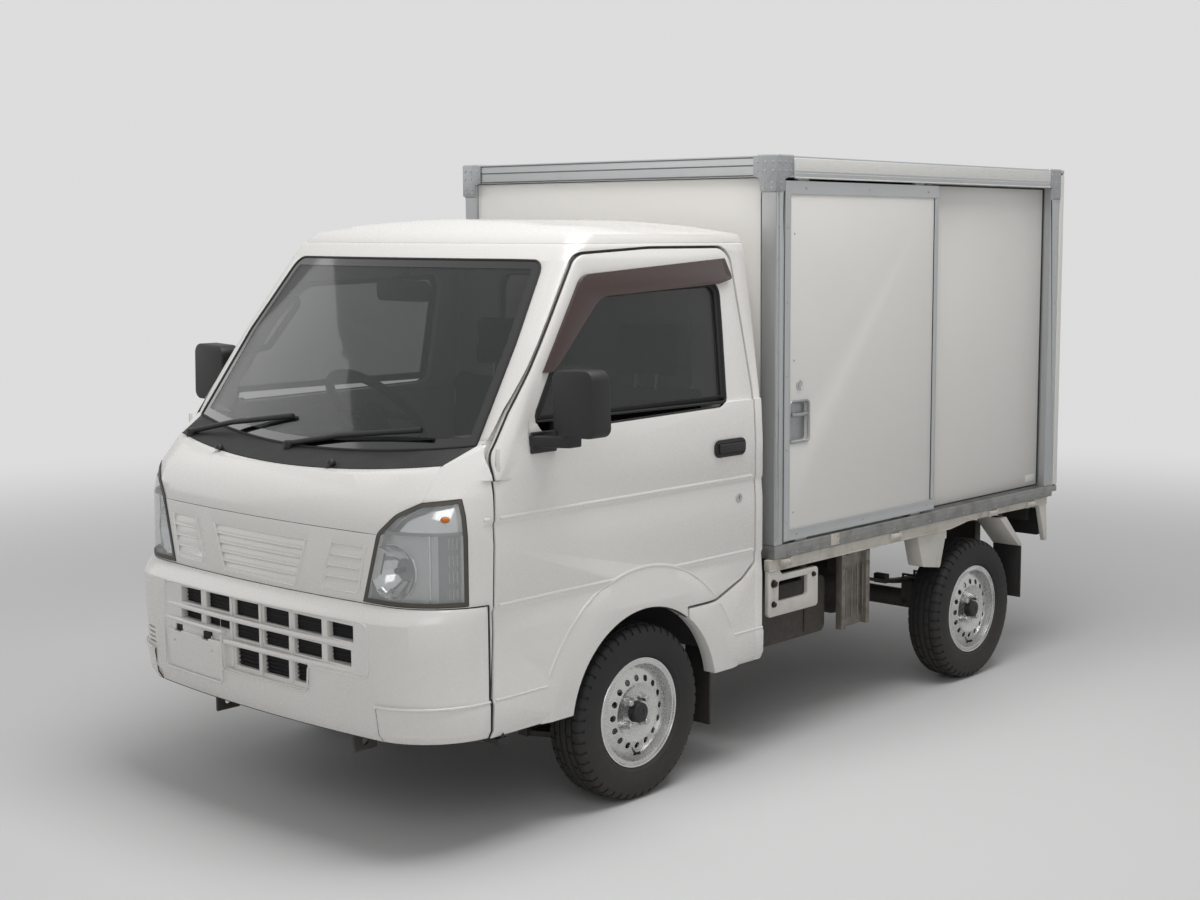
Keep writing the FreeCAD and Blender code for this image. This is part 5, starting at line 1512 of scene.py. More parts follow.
@dataclass
class Bumper:
    """Front bumper: painted cover, proud grille bars, dark insert and the plate's place."""
    bow_mm: float = 10000
    # outlines of the recess edges: x and height
    recesses: tuple[tuple[tuple[float, float], ...], ...] = (
        ((-452, 548), (-449, 640), (-438, 655), (-420, 660), (480, 660), (498, 654), (506, 640),
         (506, 524), (498, 510), (484, 508), (275, 508), (266, 502), (262, 450), (254, 438),
         (240, 434), (-128, 434), (-136, 442), (-136, 540)),
        ((-458, 540), (-458, 398)), ((-454, 392), (-142, 392)), ((-138, 396), (-138, 540)))
    # from, to, height, radius and depth of the cross bars; x and foot of the uprights
    bars: tuple[tuple[float, ...], ...] = ((-442, 497, 590, 8.5, 10), (-442, -130, 546, 6.5, 5),
                                           (-128, 497, 519, 8.5, 10))
    uprights: tuple[tuple[float, float], ...] = ((-249, 550), (-105, 446), (37, 446), (177, 446),
                                                 (325, 520))
    chin_z: float = 436
    sill_x: float = 733.6

    def build(self) -> None:
        """Makes the bumper's pieces."""
        dress("front_bumper", Look.BODY, 3, 3)
        dress("bumper_grille", Look.DARK, 1)
        bars = [self.rail(*row) for row in self.bars]
        bars += [rod((x, self.front(x) + 20, low), (x, self.front(x) + 20, 652), 6)
                 for x, low in self.uprights]
        finish(merged(bars), "bumper_bars", Look.BODY)
        rims = [bar([at(x, max(self.front(x) + 0.8, 2.8), z) for x, z in rows], 2.6)
                for rows in self.recesses]
        finish(merged(rims), "bumper_recess_edges", Look.BODY)
        slats = [self.rail(-440, 470, 458 + 12 * i, 2, 33, 1) for i in range(17)]
        finish(merged(slats), "bumper_grille_slats", Look.DARK)
        screws = [rivet(at(x, self.front(x) + 6, 520), FRONT, 4) for x in (-424, -192)]
        finish(merged(screws), "bumper_screws", Look.STEEL)
        self.chin()
        # near-black plates set behind the two holes: painted shade in the holes
        holes = [block((x0, self.front(x0) + 12, z0), (x1, self.front(x0) + 16, z1), 0.8)
                 for x0, x1, z0, z1 in ((-401, -364, 508, 531), (-249, -210, 506, 529))]
        finish(merged(holes), "bumper_hole_backs", Look.DARK)

    def chin(self) -> None:
        """Raised edge along the top of the chin at each corner, carried on along the sills."""
        corner_x, radius, z = 496, 238, self.chin_z
        turn = self.front(corner_x) + 235
        angles = [math.radians(8.3 + 81.7 * i / 12) for i in range(13)]
        rows = [at(corner_x + radius * math.sin(a), turn - radius * math.cos(a), z) for a in angles]
        both(bar(rows, 4), "bumper_chin_edges", Look.BODY)
        for side in Side:
            x = side.value * self.sill_x
            sill = rod((x, 280, z), (x, 478, z), 3.4)
            finish(sill, f"door_{side.word}_sill_edge", Look.BODY, "door_" + side.word)
        both(rod((self.sill_x, 1308, z), (self.sill_x, 1452, z), 3.4), "rear_sill_edges", Look.BODY)

    def front(self, x: float) -> float:
        """Distance of the bumper's face behind its foremost point."""
        return x * x / self.bow_mm

    def rail(self, x0: float, x1: float, z: float, radius: float, deep: float,
             sides: int = 4) -> Piece:
        """Round bar that follows the bumper's bow, so deep behind its face."""
        steps = [x0 + (x1 - x0) * i / 12 for i in range(13)]
        return bar([at(x, self.front(x) + deep, z) for x in steps], radius, sides=sides)


@dataclass
class Doors:
    """Cab doors: panel, seals, glass with its surround, mirror, handle, lock and visor."""
    surround_mm: float = 20
    lock: tuple[float, float] = (1335, 872)
    # outline of the mirror glass: x and height
    mirror: tuple[tuple[float, float], ...] = (
        (791, 1164), (787, 1316), (805, 1326), (904, 1328), (918, 1312), (922, 1176), (906, 1162),
        (805, 1158))

    def build(self) -> None:
        """Makes both doors."""
        for side in Side:
            door = "door_" + side.word
            dress(door, Look.BODY, 1.8)
            dress(door + "_fittings", Look.BLACK, 5, 3)
            dress(door + "_visor", Look.SMOKE, 0.8)
            self.window(door, side.value)
            rim = outer_rim(door, lambda face: side.value * face.normal.x > 0.5,
                            LEFT * (-side.value * mm(10)))
            finish(bar(rim, 4, closed=True), door + "_seal", Look.RUBBER, door)
        parts = self.small_parts()
        for side in Side:
            door = "door_" + side.word
            for name, look, piece in parts:
                finish(twin(piece, side.change), door + name, look, door)
        for _, _, spare in parts:
            bpy.data.objects.remove(spare)

    def window(self, door: str, sign: int) -> None:
        """Glass, the black surround over its edge, and the frame's inner edge.

        Args:
            door: The door's name.
            sign: Sign of X on its side.
        """
        pane = skin_of(door + "_glass")
        sheet = keep_faces(copy_of(pane), lambda face: sign * face.normal.x > 0.5)
        rim = thinned(rim_of(sheet), 12)
        band = rounded(sheet_to_plate(edge_band(sheet, self.surround_mm), 9, out=True), 2)
        finish(band, door + "_window_surround", Look.RUBBER, door)
        edge = bar([point + LEFT * (sign * mm(9)) for point in rim], 5.5, closed=True)
        finish(edge, door + "_window_seal", Look.RUBBER, door)
        finish(pane, door + "_glass_piece", Look.SCREEN, door, (door + "_glass",))

    def small_parts(self) -> list[tuple[str, Finish, Piece]]:
        """Pieces of the left door: lock, the handle's grip and edge, mirror glass and foot."""
        y, z = self.lock
        barrel = lathe([(-2, 15), (1, 15), (2.6, 13.6), (3.2, 12), (2.4, 10.5), (2.4, 0)],
                       at(731, y, z), LEFT, 32)
        # near-black mark on the lock's face: painted shade in the key slot
        slot = block((732.6, y - 1.2, z - 6), (733.8, y + 1.2, z + 6), 0.3)
        grip = block((735, 1228, 1022), (744.5, 1354, 1052), 5, 4)
        edge = bar(path((737.5, 1221, 1019), (737.5, 1353, 1019), (737.5, 1353, 1055),
                        (737.5, 1221, 1055)), 3, closed=True)
        glass = plate([at(x, 539, z) for x, z in self.mirror], REAR * mm(3), 1)
        bead = bar([at(x, 540, z) for x, z in self.mirror], 3.6, closed=True)
        foot = block((727, 426, 1100), (737, 524, 1160), 4, 4)
        return [("_lock", Look.STEEL, barrel), ("_lock_slot", Look.DARK, slot),
                ("_handle_grip", Look.BLACK, grip), ("_handle_edge", Look.BLACK, edge),
                ("_mirror_glass", Look.MIRROR_GLASS, glass), ("_mirror_bead", Look.BLACK, bead),
                ("_mirror_foot", Look.BLACK, foot)]


@dataclass
class Creases:
    """Pressed lines along the cab's sides and round the flared front arch."""
    skins: tuple[str, ...] = ("door_left", "wing_panels", "cab_shell")
    # height, start and end of each straight line
    straight: tuple[Triple, ...] = ((937, 246, 1450), (698, 292, 772), (698, 1016, 1450))
    # middle and radius of the line over the arch, and the degrees it runs from and to
    arch: Triple = (894, 270, 447)
    arch_turn: tuple[float, float] = (24, 156)
    straight_mm: float = 6.5
    arch_mm: float = 8
    step_mm: float = 9
    proud_mm: float = 2.6

    def build(self) -> None:
        """Traces every line over the outermost panel and rides each stretch on its body."""
        trees = {}
        for name in self.skins:
            mesh = frame["nodes"][name].data
            trees[name] = BVHTree.FromPolygons([spot.co for spot in mesh.vertices],
                                               [list(face.vertices) for face in mesh.polygons])
        lines = {"door_left": [], "root": []}
        for z, y0, y1 in self.straight:
            count = int((y1 - y0) / self.step_mm)
            places = [(y0 + self.step_mm * i, z) for i in range(count)]
            self.trace(trees, places, self.straight_mm, lines)
        y, z, radius = self.arch
        start, end = self.arch_turn
        count = int(math.radians(end - start) * radius / self.step_mm)
        turns = [math.radians(start + (end - start) * i / count) for i in range(count + 1)]
        places = [(y + radius * math.cos(a), z + radius * math.sin(a)) for a in turns]
        self.trace(trees, places, self.arch_mm, lines)
        pair(merged(lines["door_left"]), "door_pressed_lines", Look.BODY, "door")
        both(merged(lines["root"]), "wing_pressed_lines", Look.BODY)

    def outermost(self, trees: dict[str, BVHTree], y: float, z: float) -> tuple[str, Vector]:
        """Body and place of the outermost panel at a point seen from the left.

        Args:
            trees: The panels' surfaces by node.
            y: Distance behind the front in millimetres.
            z: Height in millimetres.

        Returns:
            The body, empty where there is no panel, and the place.
        """
        best = ("", Vector((mm(690), 0, 0)))
        for name, tree in trees.items():
            place = tree.ray_cast(at(2000, y, z), -LEFT)[0]
            if place is not None and place.x > best[1].x:
                best = ("door_left" if name == "door_left" else "root", place)
        return best

    def trace(self, trees: dict[str, BVHTree], places: list[tuple[float, float]],
              thick_mm: float, lines: dict[str, list[Piece]]) -> None:
        """Adds a half-sunk rib along a line, one stretch for each panel it crosses.

        Args:
            trees: The panels' surfaces by node.
            places: The line's points: distance behind the front and height.
            thick_mm: The rib's radius.
            lines: The ribs made so far by body, added to here.
        """
        sink = LEFT * mm(self.proud_mm - thick_mm)
        hits = [self.outermost(trees, y, z) for y, z in places]
        for body, stretch in groupby(hits, key=lambda hit: hit[0]):
            points = [place + sink for _, place in stretch][1:-1]
            if body and len(points) > 2:
                lines[body].append(bar(points, thick_mm))


@dataclass(frozen=True)
class Pad:
    """One upholstered pad: its side outline, its width, and how far it swells."""
    name: str
    side: tuple[tuple[float, float], ...]
    width_mm: float
    swell_mm: float
    fill: float


@dataclass
class Interior:
    """Seats, dashboard, steering wheel and the cab's small fittings."""
    seat_x: float = 340
    seat_half: float = 240
    voxel_mm: float = 6
    pressure: float = 4
    frames: int = 20
    wheel_x: float = -350
    pads: tuple[Pad, ...] = (
        Pad("cushion", ((806, 664), (792, 700), (790, 768), (828, 772), (1222, 756), (1236, 740),
                        (1240, 664)), 452, 22, 0.75),
        Pad("back", ((1246, 795), (1262, 900), (1292, 1190), (1312, 1213), (1358, 1213),
                     (1368, 1190), (1352, 795)), 452, 16, 0.7),
        Pad("headrest", ((1304, 1240), (1310, 1396), (1328, 1410), (1366, 1410), (1376, 1396),
                         (1366, 1240)), 238, 10, 0.85))

    def build(self) -> None:
        """Makes the cab's inside."""
        self.seats()
        dress("dashboard", Look.TRIM, 6, 3)
        dress("cab_floor", Look.MAT, 1.5)
        dress("cab_fittings", Look.BLACK, 3)
        dress("steering_wheel", Look.BLACK, 2)
        self.panel()
        self.levers()

    def seats(self) -> None:
        """Each pad is blown up once by cloth simulation, then copied to the other seat."""
        replaced = ("seats",)
        for pad in self.pads:
            shell = plate([at(self.seat_x - pad.width_mm / 2, y, z) for y, z in pad.side],
                          LEFT * mm(pad.width_mm))
            rounded(shell, 14, 3)
            self.blow(shell, pad)
            for side in Side:
                copy = twin(shell, side.change)
                finish(copy, f"seat_{pad.name}_{side.word}", Look.CLOTH, "root", replaced, 60)
                replaced = ()
            bpy.data.objects.remove(shell)
        posts = [rod((x, 1330, 1195), (x, 1336, 1262), 5.5)
                 for side in Side for x in self.posts(side)]
        finish(merged(posts), "headrest_posts", Look.STEEL)

    def posts(self, side: Side) -> tuple[float, float]:
        """Where a seat's two headrest posts stand."""
        return side.value * self.seat_x - 45, side.value * self.seat_x + 45

    def blow(self, shell: Piece, pad: Pad) -> None:
        """Swells a pad's shell by cloth pressure, its movement capped.

        Args:
            shell: The pad's plain shell.
            pad: Its sizes.
        """
        modify(shell, "REMESH", mode="VOXEL", voxel_size=mm(self.voxel_mm))
        before = [v.co.copy() for v in shell.data.vertices]
        cloth = shell.modifiers.new("cloth", "CLOTH")
        cloth.settings.use_pressure = True
        cloth.settings.uniform_pressure_force = self.pressure
        cloth.settings.effector_weights.gravity = 0
        scene = bpy.context.scene
        for number in range(1, self.frames + 1):
            scene.frame_set(number)
        pick(shell)
        bpy.ops.object.modifier_apply(modifier=cloth.name)
        scene.frame_set(1)
        cap, foot = mm(pad.swell_mm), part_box("seats")[0].z
        inner, outer = mm(self.seat_x - self.seat_half), mm(self.seat_x + self.seat_half)
        for vertex, start in zip(shell.data.vertices, before):
            move = vertex.co - start
            if move.length > cap:
                move = move * (cap / move.length)
            place = start + move
            place.z = max(place.z, foot)
            place.x = min(max(place.x, inner), outer)
            vertex.co = place
        modify(shell, "SMOOTH", iterations=6, factor=0.5)

    def board(self, rows: Sequence[tuple[float, float]], y: float, depth: Vector,
              edge_mm: float) -> Piece:
        """Plate in front of the driver.

        Args:
            rows: Its outline: distance beside the steering column, and height.
            y: Its distance behind the truck's front.
            depth: Its thickness and where it goes, in metres.
            edge_mm: Rounding of its edges.

        Returns:
            The piece.
        """
        return plate([at(self.wheel_x + x, y, z) for x, z in rows], depth, edge_mm)

    def panel(self) -> None:
        """Instrument hood, its dial faces, vents, radio and glove box lid on the dashboard."""
        hood = [(-165, 1096), (-140, 1150), (-100, 1168), (100, 1168), (140, 1150), (165, 1096)]
        finish(self.board(hood, 470, FRONT * mm(85), 8), "instrument_hood", Look.TRIM)
        face = [(-135, 1104), (-118, 1140), (118, 1140), (135, 1104)]
        finish(self.board(face, 472, REAR * mm(2), 0.6), "instrument_face", Look.DARK)
        dials = [lathe([(0, r), (3, r), (3, r - 2.5), (1, r - 3), (1, 0)],
                       at(self.wheel_x + x, 473, 1122), REAR, 36)
                 for x, r in ((-70, 24), (0, 30), (70, 24))]
        finish(merged(dials), "instrument_rings", Look.STEEL)
        vents = [block((x - 42, 492, z), (x + 42, 506, z + 3), 1)
                 for x in (-590, -110, 110, 590) for z in range(1012, 1049, 9)]
        finish(merged(vents), "dashboard_vents", Look.BLACK)
        unit = block((-85, 478, 905), (85, 502, 985), 4)
        finish(unit, "dashboard_centre_unit", Look.BLACK)
        knobs = [lathe([(0, 11), (12, 10), (14, 8), (14, 0)], at(x, 501, 945), REAR, 24)
                 for x in (-55, 0, 55)]
        finish(merged(knobs), "dashboard_knobs", Look.BEZEL_DARK)
        finish(block((180, 476, 900), (520, 494, 1000), 6), "glove_box_lid", Look.TRIM)

    def levers(self) -> None:
        """Gear lever between the seats, pedals and the column stalks."""
        boot = lathe([(0, 52), (6, 50), (30, 34), (36, 36), (60, 20), (64, 0)],
                     at(0, 560, 402), UP, 28)
        finish(boot, "gear_lever_boot", Look.RUBBER)
        stick = bar(path((0, 560, 440), (-12, 590, 640), (-20, 640, 780)), 7, smooth=True)
        finish(stick, "gear_lever", Look.STEEL)
        knob = lathe([(-26, 8), (-20, 15), (0, 22), (16, 18), (24, 8), (25, 0)],
                     at(-20, 640, 790), UP, 28)
        finish(knob, "gear_knob", Look.BLACK)
        pedals = []
        for x in (-470, -370, -255):
            pedals += [bar(path((x, 330, 700), (x, 395, 600), (x, 425, 520)), 7, smooth=True),
                       block((x - 32, 420, 488), (x + 32, 434, 538), 3)]
        finish(merged(pedals), "pedals", Look.BLACK)
        x = self.wheel_x
        stalks = [rod((x + way * 26, 700, 1058), (x + way * 130, 712, 1074), 6) for way in (-1, 1)]
        finish(merged(stalks), "column_stalks", Look.BLACK)


@dataclass
class Box:
    """Panel box: aluminium frame with castings and rivets, panels, and its doors' fittings."""
    front: float = 1520
    rear: float = 3345
    half: float = 730
    low: float = 645
    top: float = 1947
    slide: Triple = (726, 1567, 2470)
    slide_z: tuple[float, float] = (698.4, 1868.6)
    cup: tuple[float, float, float, float] = (1600, 1704, 1021, 1156)
    cup_corner: float = 14
    door_y: float = 3382

    def build(self) -> None:
        """Makes the box's pieces."""
        dress("box_base", Look.SILL, 1.5)
        dress("box_frame", Look.EXTRUSION, 3, 3)
        dress("box_panels", Look.PANEL, 1.5)
        for side in Side:
            dress("slide_door_" + side.word, Look.PANEL, 2)
            dress("rear_door_" + side.word, Look.PANEL, 2.5, 3)
        self.corners()
        self.valance()
        self.rows_of_rivets()
        self.side_seals()
        self.slide_doors()
        self.rear_doors()

    def bracket(self, outer: float, inner: float, foot: float,
                deep: float = 62) -> list[tuple[float, float]]:
        """Outline of a corner casting: a plate along the rail with a foot down the post.

        Args:
            outer: Where its outer edge runs, in millimetres.
            inner: Where the plate ends.
            foot: Where the foot ends.
            deep: How far the plate's end reaches down.

        Returns:
            The outline: place along the face, and height.
        """
        top = self.top
        return [(outer, top - 1), (inner, top - 1), (inner, top - deep), (foot, top - 74),
                (foot, top - 112), (outer, top - 112)]

    def corners(self) -> None:
        """Cast brackets on the front and rear upper corners, with their rivets."""
        plates, rivets = [], []
        x = self.half + 3
        for outer, inner, foot in ((self.front - 4, self.front + 85, self.front + 40),
                                   (self.rear + 1, self.rear - 85, self.rear - 61)):
            outline = [at(x - 1, y, z) for y, z in self.bracket(outer, inner, foot)]
            plates.append(plate(outline, LEFT * mm(3.6), 1.6))
            spots = [(min(outer, inner) + share * abs(inner - outer), down)
                     for down in (20, 48) for share in (0.16, 0.5, 0.84)]
            spots += [((outer + foot) / 2, down) for down in (86, 102)]
            rivets += [rivet(at(x + 2.5, y, self.top - down), LEFT, 4.2) for y, down in spots]
        both(merged(plates), "corner_castings", Look.CASTING)
        both(merged(rivets), "corner_rivets", Look.STEEL)
        y = self.front - 4
        outline = [at(px, y + 1, z) for px, z in self.bracket(x + 2, 640, 668, 66)]
        both(plate(outline, FRONT * mm(4), 1.6), "front_corner_plates", Look.CASTING)
        spots = [(px, down) for px in (656, 690, 722) for down in (20, 48)]
        spots += [(px, down) for px in (684, 718) for down in (86, 102)]
        studs = [rivet(at(px, y - 3, self.top - down), FRONT, 4.2) for px, down in spots]
        both(merged(studs), "front_corner_rivets", Look.STEEL)

    def valance(self) -> None:
        """Rounded lips along the rain valance over the side doors, and the rail's ribs."""
        y0, y1 = self.front + 86, self.rear - 86
        lips = [rod((x, y0, z), (x, y1, z), radius, sides) for x, z, radius, sides in (
            (735.2, 1936, 3.6, 3), (735.2, 1879, 3.2, 3), (737, 1893, 1, 1), (737, 1926, 1, 1))]
        cover = block((735, y0, 1899), (738.6, y1, 1941), 1.6)
        both(merged(lips + [cover]), "valance_lips", Look.LIP)
        y = self.front - 0.5
        rails = [rod((-640, y, z), (640, y, z), 2.2) for z in (1884, 1916, 1941)]
        finish(merged(rails), "front_top_rail_ribs", Look.EXTRUSION_DARK)

    def rows_of_rivets(self) -> None:
        """Blind rivets up the posts and along the base rails, with the strips and ribs there."""
        studs = [rivet(at(731, y, 722 + 100 * i), LEFT, 3)
                 for i in range(12) for y in (self.front + 12, self.rear - 14)]
        studs += [rivet(at(730, 1640 + 115 * i, self.low + 12), LEFT, 3) for i in range(15)]
        both(merged(studs), "frame_rivets", Look.STEEL)
        strips = [block((729, self.front + y0, 700), (x, self.front + y1, 1834), edge)
                  for x, y0, y1, edge in ((732, 2, 7, 0.8), (732.4, 17, 33, 1.2))]
        both(merged(strips), "front_post_strips", Look.EXTRUSION)
        ribs = [rod((730, 1590, z), (730, 3275, z), 1.8, 2) for z in (652, 668, 684)]
        both(merged(ribs), "base_rail_ribs", Look.SILL)
        patch = block((729, 1828, 650), (733.2, 1876, 690), 1.4)
        both(patch, "base_rail_patches", Look.RUSTED_PATCH)

    def side_seals(self) -> None:
        """Black rubber beside the front post and round the fixed panel, and a blank plate."""
        y = self.front + 45
        seals = [rod((712, y, 700), (712, y, 1872), 2.6),
                 rod((696.5, 2473, 700), (696.5, 2473, 1872), 3.2),
                 rod((694, 3278, 700), (694, 3278, 1872), 3.4),
                 rod((694, 2480, 696), (694, 3278, 696), 3),
                 rod((694, 2480, 1872), (694, 3278, 1872), 3)]
        both(merged(seals), "side_panel_seals", Look.RUBBER)
        both(block((693, 3190, 713), (696, 3260, 739), 1.5), "blank_side_plates", Look.PLATE)

    def slide_doors(self) -> None:
        """Sliding doors' aluminium edges, screws, cup handle and lock."""
        x, y0, y1 = self.slide
        z0, z1 = self.slide_z
        edges = [self.channel((x - 1, y0, z0), (x + 5, y0 + 30, z1)),
                 self.channel((x - 1, y0 + 30.3, 1825), (x + 4, y1, z1)),
                 self.channel((x - 1, y0 + 30.3, z0), (x + 4, y1, z0 + 38)),
                 self.channel((x - 1, y1 - 24, z0 + 38.3), (x + 3, y1, 1824.7))]
        pair(merged(edges), "slide_door_edges", Look.EXTRUSION, "slide_door")
        lines = [rod((x + 0.4, y, z0 + 40), (x + 0.4, y, 1823), 1.5, 1)
                 for y in (y0 + 31.5, y1 - 26)]
        pair(merged(lines), "slide_door_gaskets", Look.RUBBER, "slide_door")
        screws = [rivet(at(x + 3.5, y, 1847), LEFT, 4.5) for y in (1680, 2040, 2400)]
        screws += [rivet(at(x, 1622, z), LEFT, 3.6) for z in (790, 1290, 1700)]
        screws += [rivet(at(x + 3.5, y, 718), LEFT, 4) for y in (1640, 2020, 2420)]
        screws += [rivet(at(x + 4.8, 1582, z), LEFT, 3.2) for z in range(760, 1721, 240)]
        pair(merged(screws), "slide_door_screws", Look.STEEL, "slide_door")
        lock = lathe([(-2, 17), (2, 17), (3.5, 15.5), (3.5, 12), (2, 11), (2, 8.5), (4.5, 8),
                      (4.5, 0)], at(x, 1652, 1208), LEFT, 36)
        pair(lock, "slide_door_lock", Look.STEEL, "slide_door")
        self.cup_handle(x)

    def channel(self, low: Triple, high: Triple) -> Piece:
        """Flat aluminium strip with a shallow groove along its face.

        Args:
            low: Its lowest corner in millimetres.
            high: Its highest corner.

        Returns:
            The piece.
        """
        strip = block(low, high, 1.2, 2)
        with editing(strip) as mesh:
            choose(mesh, lambda face: face.normal.x > 0.95)
            bpy.ops.mesh.inset(thickness=mm(5))
            bpy.ops.transform.translate(value=(-mm(1), 0, 0))
        return strip

    def cup_handle(self, x: float) -> None:
        """Recessed cup with its bright frame and the grip across its upper edge.

        Args:
            x: The door's outer face in millimetres.
        """
        y0, y1, z0, z1 = self.cup
        r = self.cup_corner
        outline = []
        for cy, cz, start in ((y1 - r, z1 - r, 0), (y0 + r, z1 - r, 90), (y0 + r, z0 + r, 180),
                              (y1 - r, z0 + r, 270)):
            turns = [math.radians(start + 22.5 * i) for i in range(5)]
            outline += [at(x + 1, cy + r * math.cos(a), cz + r * math.sin(a)) for a in turns]
        pair(bar(outline, 4.2, closed=True), "slide_door_cup_frame", Look.CASTING, "slide_door")
        inner = [Vector((mm(709), point.y, point.z)) for point in outline]
        centre = sum(inner, Vector()) / len(inner)
        cup = plate([centre + (point - centre) * 0.9 for point in inner], LEFT * mm(3), 1.2)
        pair(cup, "slide_door_cup", Look.CASTING, "slide_door")
        grip = bar(path((x - 2, y0 + 12, 1112), (x + 1, (y0 + y1) / 2, 1108),
                        (x - 2, y1 - 10, 1112)), 7, smooth=True, sides=4)
        pair(grip, "slide_door_grip", Look.CASTING, "slide_door")

    def rear_doors(self) -> None:
        """Rear doors' lock bar guides, handles, beads, seals and hinges."""
        y = self.door_y
        guides = [block((54, y - 1, z - 14), (86, y + 12.6, z + 14), 3)
                  for z in (760, 980, 1340, 1640, 1840)]
        pair(merged(guides), "lock_bar_guides", Look.CASTING, "rear_door")
        grip = bar(path((84, y + 6.6, 1100), (150, y + 6.8, 1096), (250, y + 6.6, 1090)), 5.6,
                   smooth=True)
        handle = merged([block((58, y + 2, 1078), (82, y + 12.6, 1122), 4), grip,
                         block((232, y - 1, 1066), (268, y + 8, 1120), 3)])
        pair(handle, "rear_door_handle", Look.STEEL, "rear_door")
        bead = bar(path((24, y, 700), (720, y, 700), (720, y, 1918), (24, y, 1918)), 2.4,
                   closed=True)
        pair(bead, "rear_door_edge_beads", Look.EXTRUSION, "rear_door")
        seal = rod((6.5, y - 8, 694), (6.5, y - 8, 1924), 3.2)
        pair(seal, "rear_door_seal", Look.RUBBER, "rear_door")
        heights = (770, 1130, 1490, 1850)
        straps = [block((640, y - 1, z - 22), (712, y + 4, z + 22), 1.6) for z in heights]
        rivets = [rivet(at(x, y + 3.8, z + up), REAR, 3.6)
                  for z in heights for x in (654, 676, 698) for up in (-10, 10)]
        pair(merged(straps), "rear_hinge_straps", Look.CASTING, "rear_door")
        pair(merged(rivets), "rear_hinge_rivets", Look.STEEL, "rear_door")


@dataclass
class Bed:
    """Bed sides, brackets, hooks' ends, mud flaps and plates below the box."""
    hooks: tuple[float, ...] = (1582, 2223, 2891, 3181)
    # outline of a hook's ear: x and height
    ear: tuple[tuple[float, float], ...] = ((719, 643), (719, 616), (733, 618), (737, 626),
                                            (737, 634), (731, 643))
    # kind of bracket, how far behind the front it ends, and its finish
    kinds: tuple[tuple[str, float, Finish], ...] = (
        ("step", 1800, Look.BED_CLEAN), ("stay", 2300, Look.GALVANISED),
        ("guard", math.inf, Look.BED_CLEAN))
    # x, distance behind the front, height, width and height of each bolt's head
    heads: tuple[tuple[float, ...], ...] = (
        (720, 1528, 564, 22, 9), (720, 1528, 495, 17, 7), (720, 1745, 565, 15, 6),
        (612, 2084, 575, 15, 7), (612, 2212, 575, 15, 7))

    def build(self) -> None:
        """Makes the bed's pieces."""
        dress("bed_sides", Look.BED, 2)
        self.brackets()
        self.hook_ends()
        self.bolts()
        dress("mud_flaps", Look.FLAP, 1)
        self.flap_bolts()
        dress("bed_beams", Look.FRAME, 1.5)
        self.edge()

    def brackets(self) -> None:
        """The CAD brackets in their three kinds."""
        groups = {name: [] for name, _, _ in self.kinds}
        for solid in solids_of("bed_brackets"):
            y = (middle(solid).y - CAD_LOW.y) * 1000
            groups[next(name for name, end, _ in self.kinds if y < end)].append(solid)
        replaced = ("bed_brackets",)
        for name, _, look in self.kinds:
            piece = rounded(merged(groups[name]), 1.6)
            finish(piece, f"bed_{name}_brackets", look, "root", replaced)
            replaced = ()

    def hook_ends(self) -> None:
        """Bent ears that carry each rope hook's roller."""
        ears = [plate([at(x, y + end, z) for x, z in self.ear], REAR * mm(4), 0.8)
                for y in self.hooks for end in (-28, 24)]
        both(merged(ears), "rope_hook_ears", Look.BED)

    def bolts(self) -> None:
        """Dark bolts on step bracket and stays, and the stays' ribs and holes."""
        heads = [hex_bolt(at(x, y, z), LEFT, across, high) for x, y, z, across, high in self.heads]
        both(merged(heads), "bed_bolts", Look.DARK_BOLT)
        marks = [block((598, y, 330), (603, y + 6, 520), 1.5) for y in range(2100, 2203, 34)]
        marks += [lathe([(0, 7), (1.2, 8.5), (2.4, 7), (2.4, 5), (0.6, 4.5), (0.6, 0)],
                        at(612, y, z), LEFT, 20) for y in (2073, 2223) for z in (340, 430, 520)]
        both(merged(marks), "stay_pressings", Look.GALVANISED)

    def flap_bolts(self) -> None:
        """Clamp strips with bolts along the top of the mud flaps."""
        parts = []
        for y, x0, x1 in ((1244.3, 598, 684), (3120, 610, 716)):
            parts.append(block((x0, y, 446), (x1, y + 3, 466), 1))
            parts += [hex_bolt(at(x0 + share * (x1 - x0), y + 3, 456), REAR, 12, 5)
                      for share in (0.12, 0.5, 0.88)]
        both(merged(parts), "flap_clamps", Look.GALVANISED)

    def edge(self) -> None:
        """Rolled lower edge of the bed side, rising over the rear wheel, and its upper lip."""
        rim = bar(path((721, 1504, 608), (721, 2598, 608), (721, 2720, 623), (721, 2960, 623),
                       (721, 3318, 619)), 3.4)
        lip = rod((722, 1504, 642), (722, 3318, 642), 2.2)
        both(merged([rim, lip]), "bed_side_rolled_edges", Look.BED)


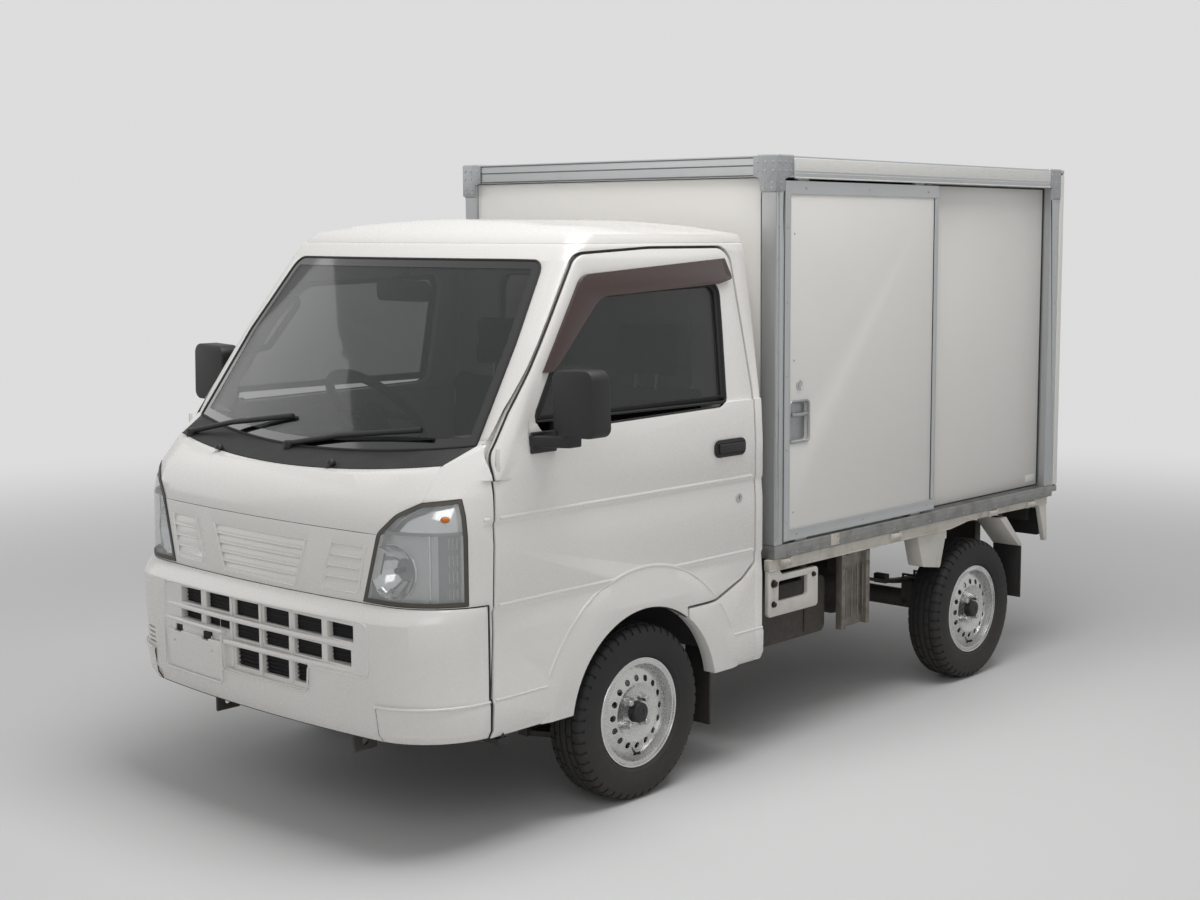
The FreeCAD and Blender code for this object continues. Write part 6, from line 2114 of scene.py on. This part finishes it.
@dataclass
class Chassis:
    """Frame, axles, engine, tank, exhaust and the pieces bolted to them."""
    # node, finish and rounding of its edges in millimetres
    nodes: tuple[tuple[str, Finish, float], ...] = (
        ("front_suspension", Look.IRON, 1.5), ("knuckle_left", Look.IRON, 1.5),
        ("knuckle_right", Look.IRON, 1.5), ("chassis_frame", Look.FRAME, 2),
        ("rear_axle", Look.IRON, 1.5), ("engine_block", Look.IRON, 6),
        ("fuel_tank", Look.FRAME, 8), ("exhaust", Look.IRON, 1.5))
    coil: Triple = (545, 889, 440)
    coil_r: float = 50
    coil_turn: int = 16

    def build(self) -> None:
        """Dresses the CAD nodes under the truck and adds the small things on them."""
        for node, look, edge_mm in self.nodes:
            dress(node, look, edge_mm)
        self.springs()
        self.brakes()
        self.tank()
        self.engine()

    def springs(self) -> None:
        """U-bolts and clips of the rear springs, and coils round the front struts."""
        clamps = [bar(path((410, y, 250), (410, y, 372), (470, y, 372), (470, y, 250)), 6)
                  for y in (2754, 2834)]
        clamps += [block((411, y - 12, 372), (469, y + 12, 408), 3) for y in (2560, 3030)]
        both(merged(clamps), "spring_clamps", Look.IRON)
        x, y, z = self.coil
        turns = [(math.tau * i / self.coil_turn, z + 1.9 * i) for i in range(85)]
        coil = bar([at(x + self.coil_r * math.cos(a), y + self.coil_r * math.sin(a), height)
                    for a, height in turns], 6)
        both(coil, "front_coil_springs", Look.IRON)

    def brakes(self) -> None:
        """Brake drums on the rear axle."""
        drum = lathe([(0, 40), (0, 108), (6, 114), (46, 114), (46, 108), (52, 104), (52, 40),
                      (0, 40)], at(556, 2794, 268), LEFT, 40)
        both(drum, "rear_brake_drums", Look.IRON)

    def tank(self) -> None:
        """Straps and drain plug of the fuel tank."""
        parts = [bar(path((373, y, 500), (368, y, 320), (390, y, 298.5), (550, y, 298.5),
                          (571, y, 320), (571, y, 500)), 4) for y in (1655, 1895)]
        parts.append(hex_bolt(at(470, 1780, 300), -UP, 22, 8))
        finish(merged(parts), "fuel_tank_straps", Look.IRON)

    def engine(self) -> None:
        """Engine's ribs, sump plug and the silencer's beads."""
        parts = [block((-232, y, 340), (232, y + 14, 602), 4) for y in range(930, 1351, 70)]
        parts.append(hex_bolt(at(0, 1150, 320), -UP, 24, 10))
        finish(merged(parts), "engine_ribs", Look.IRON)
        beads = [lathe([(0, 70), (0, 76.5), (3, 78.5), (8, 78.5), (11, 76.5), (11, 70), (0, 70)],
                       at(-480, y, 395), REAR, 40) for y in (1652, 1860, 2066)]
        finish(merged(beads), "silencer_beads", Look.IRON)


def main() -> None:
    """Builds the truck's pieces in order, then the studio."""
    logging.basicConfig(level=logging.INFO, format="%(message)s")
    for part in (Cab(), Lamps(), Bumper(), Wheels(), Doors(), Creases(), Interior(), Box(), Bed(),
                 Chassis()):
        part.build()
    Studio().build()


if __name__ == "__main__":
    main()
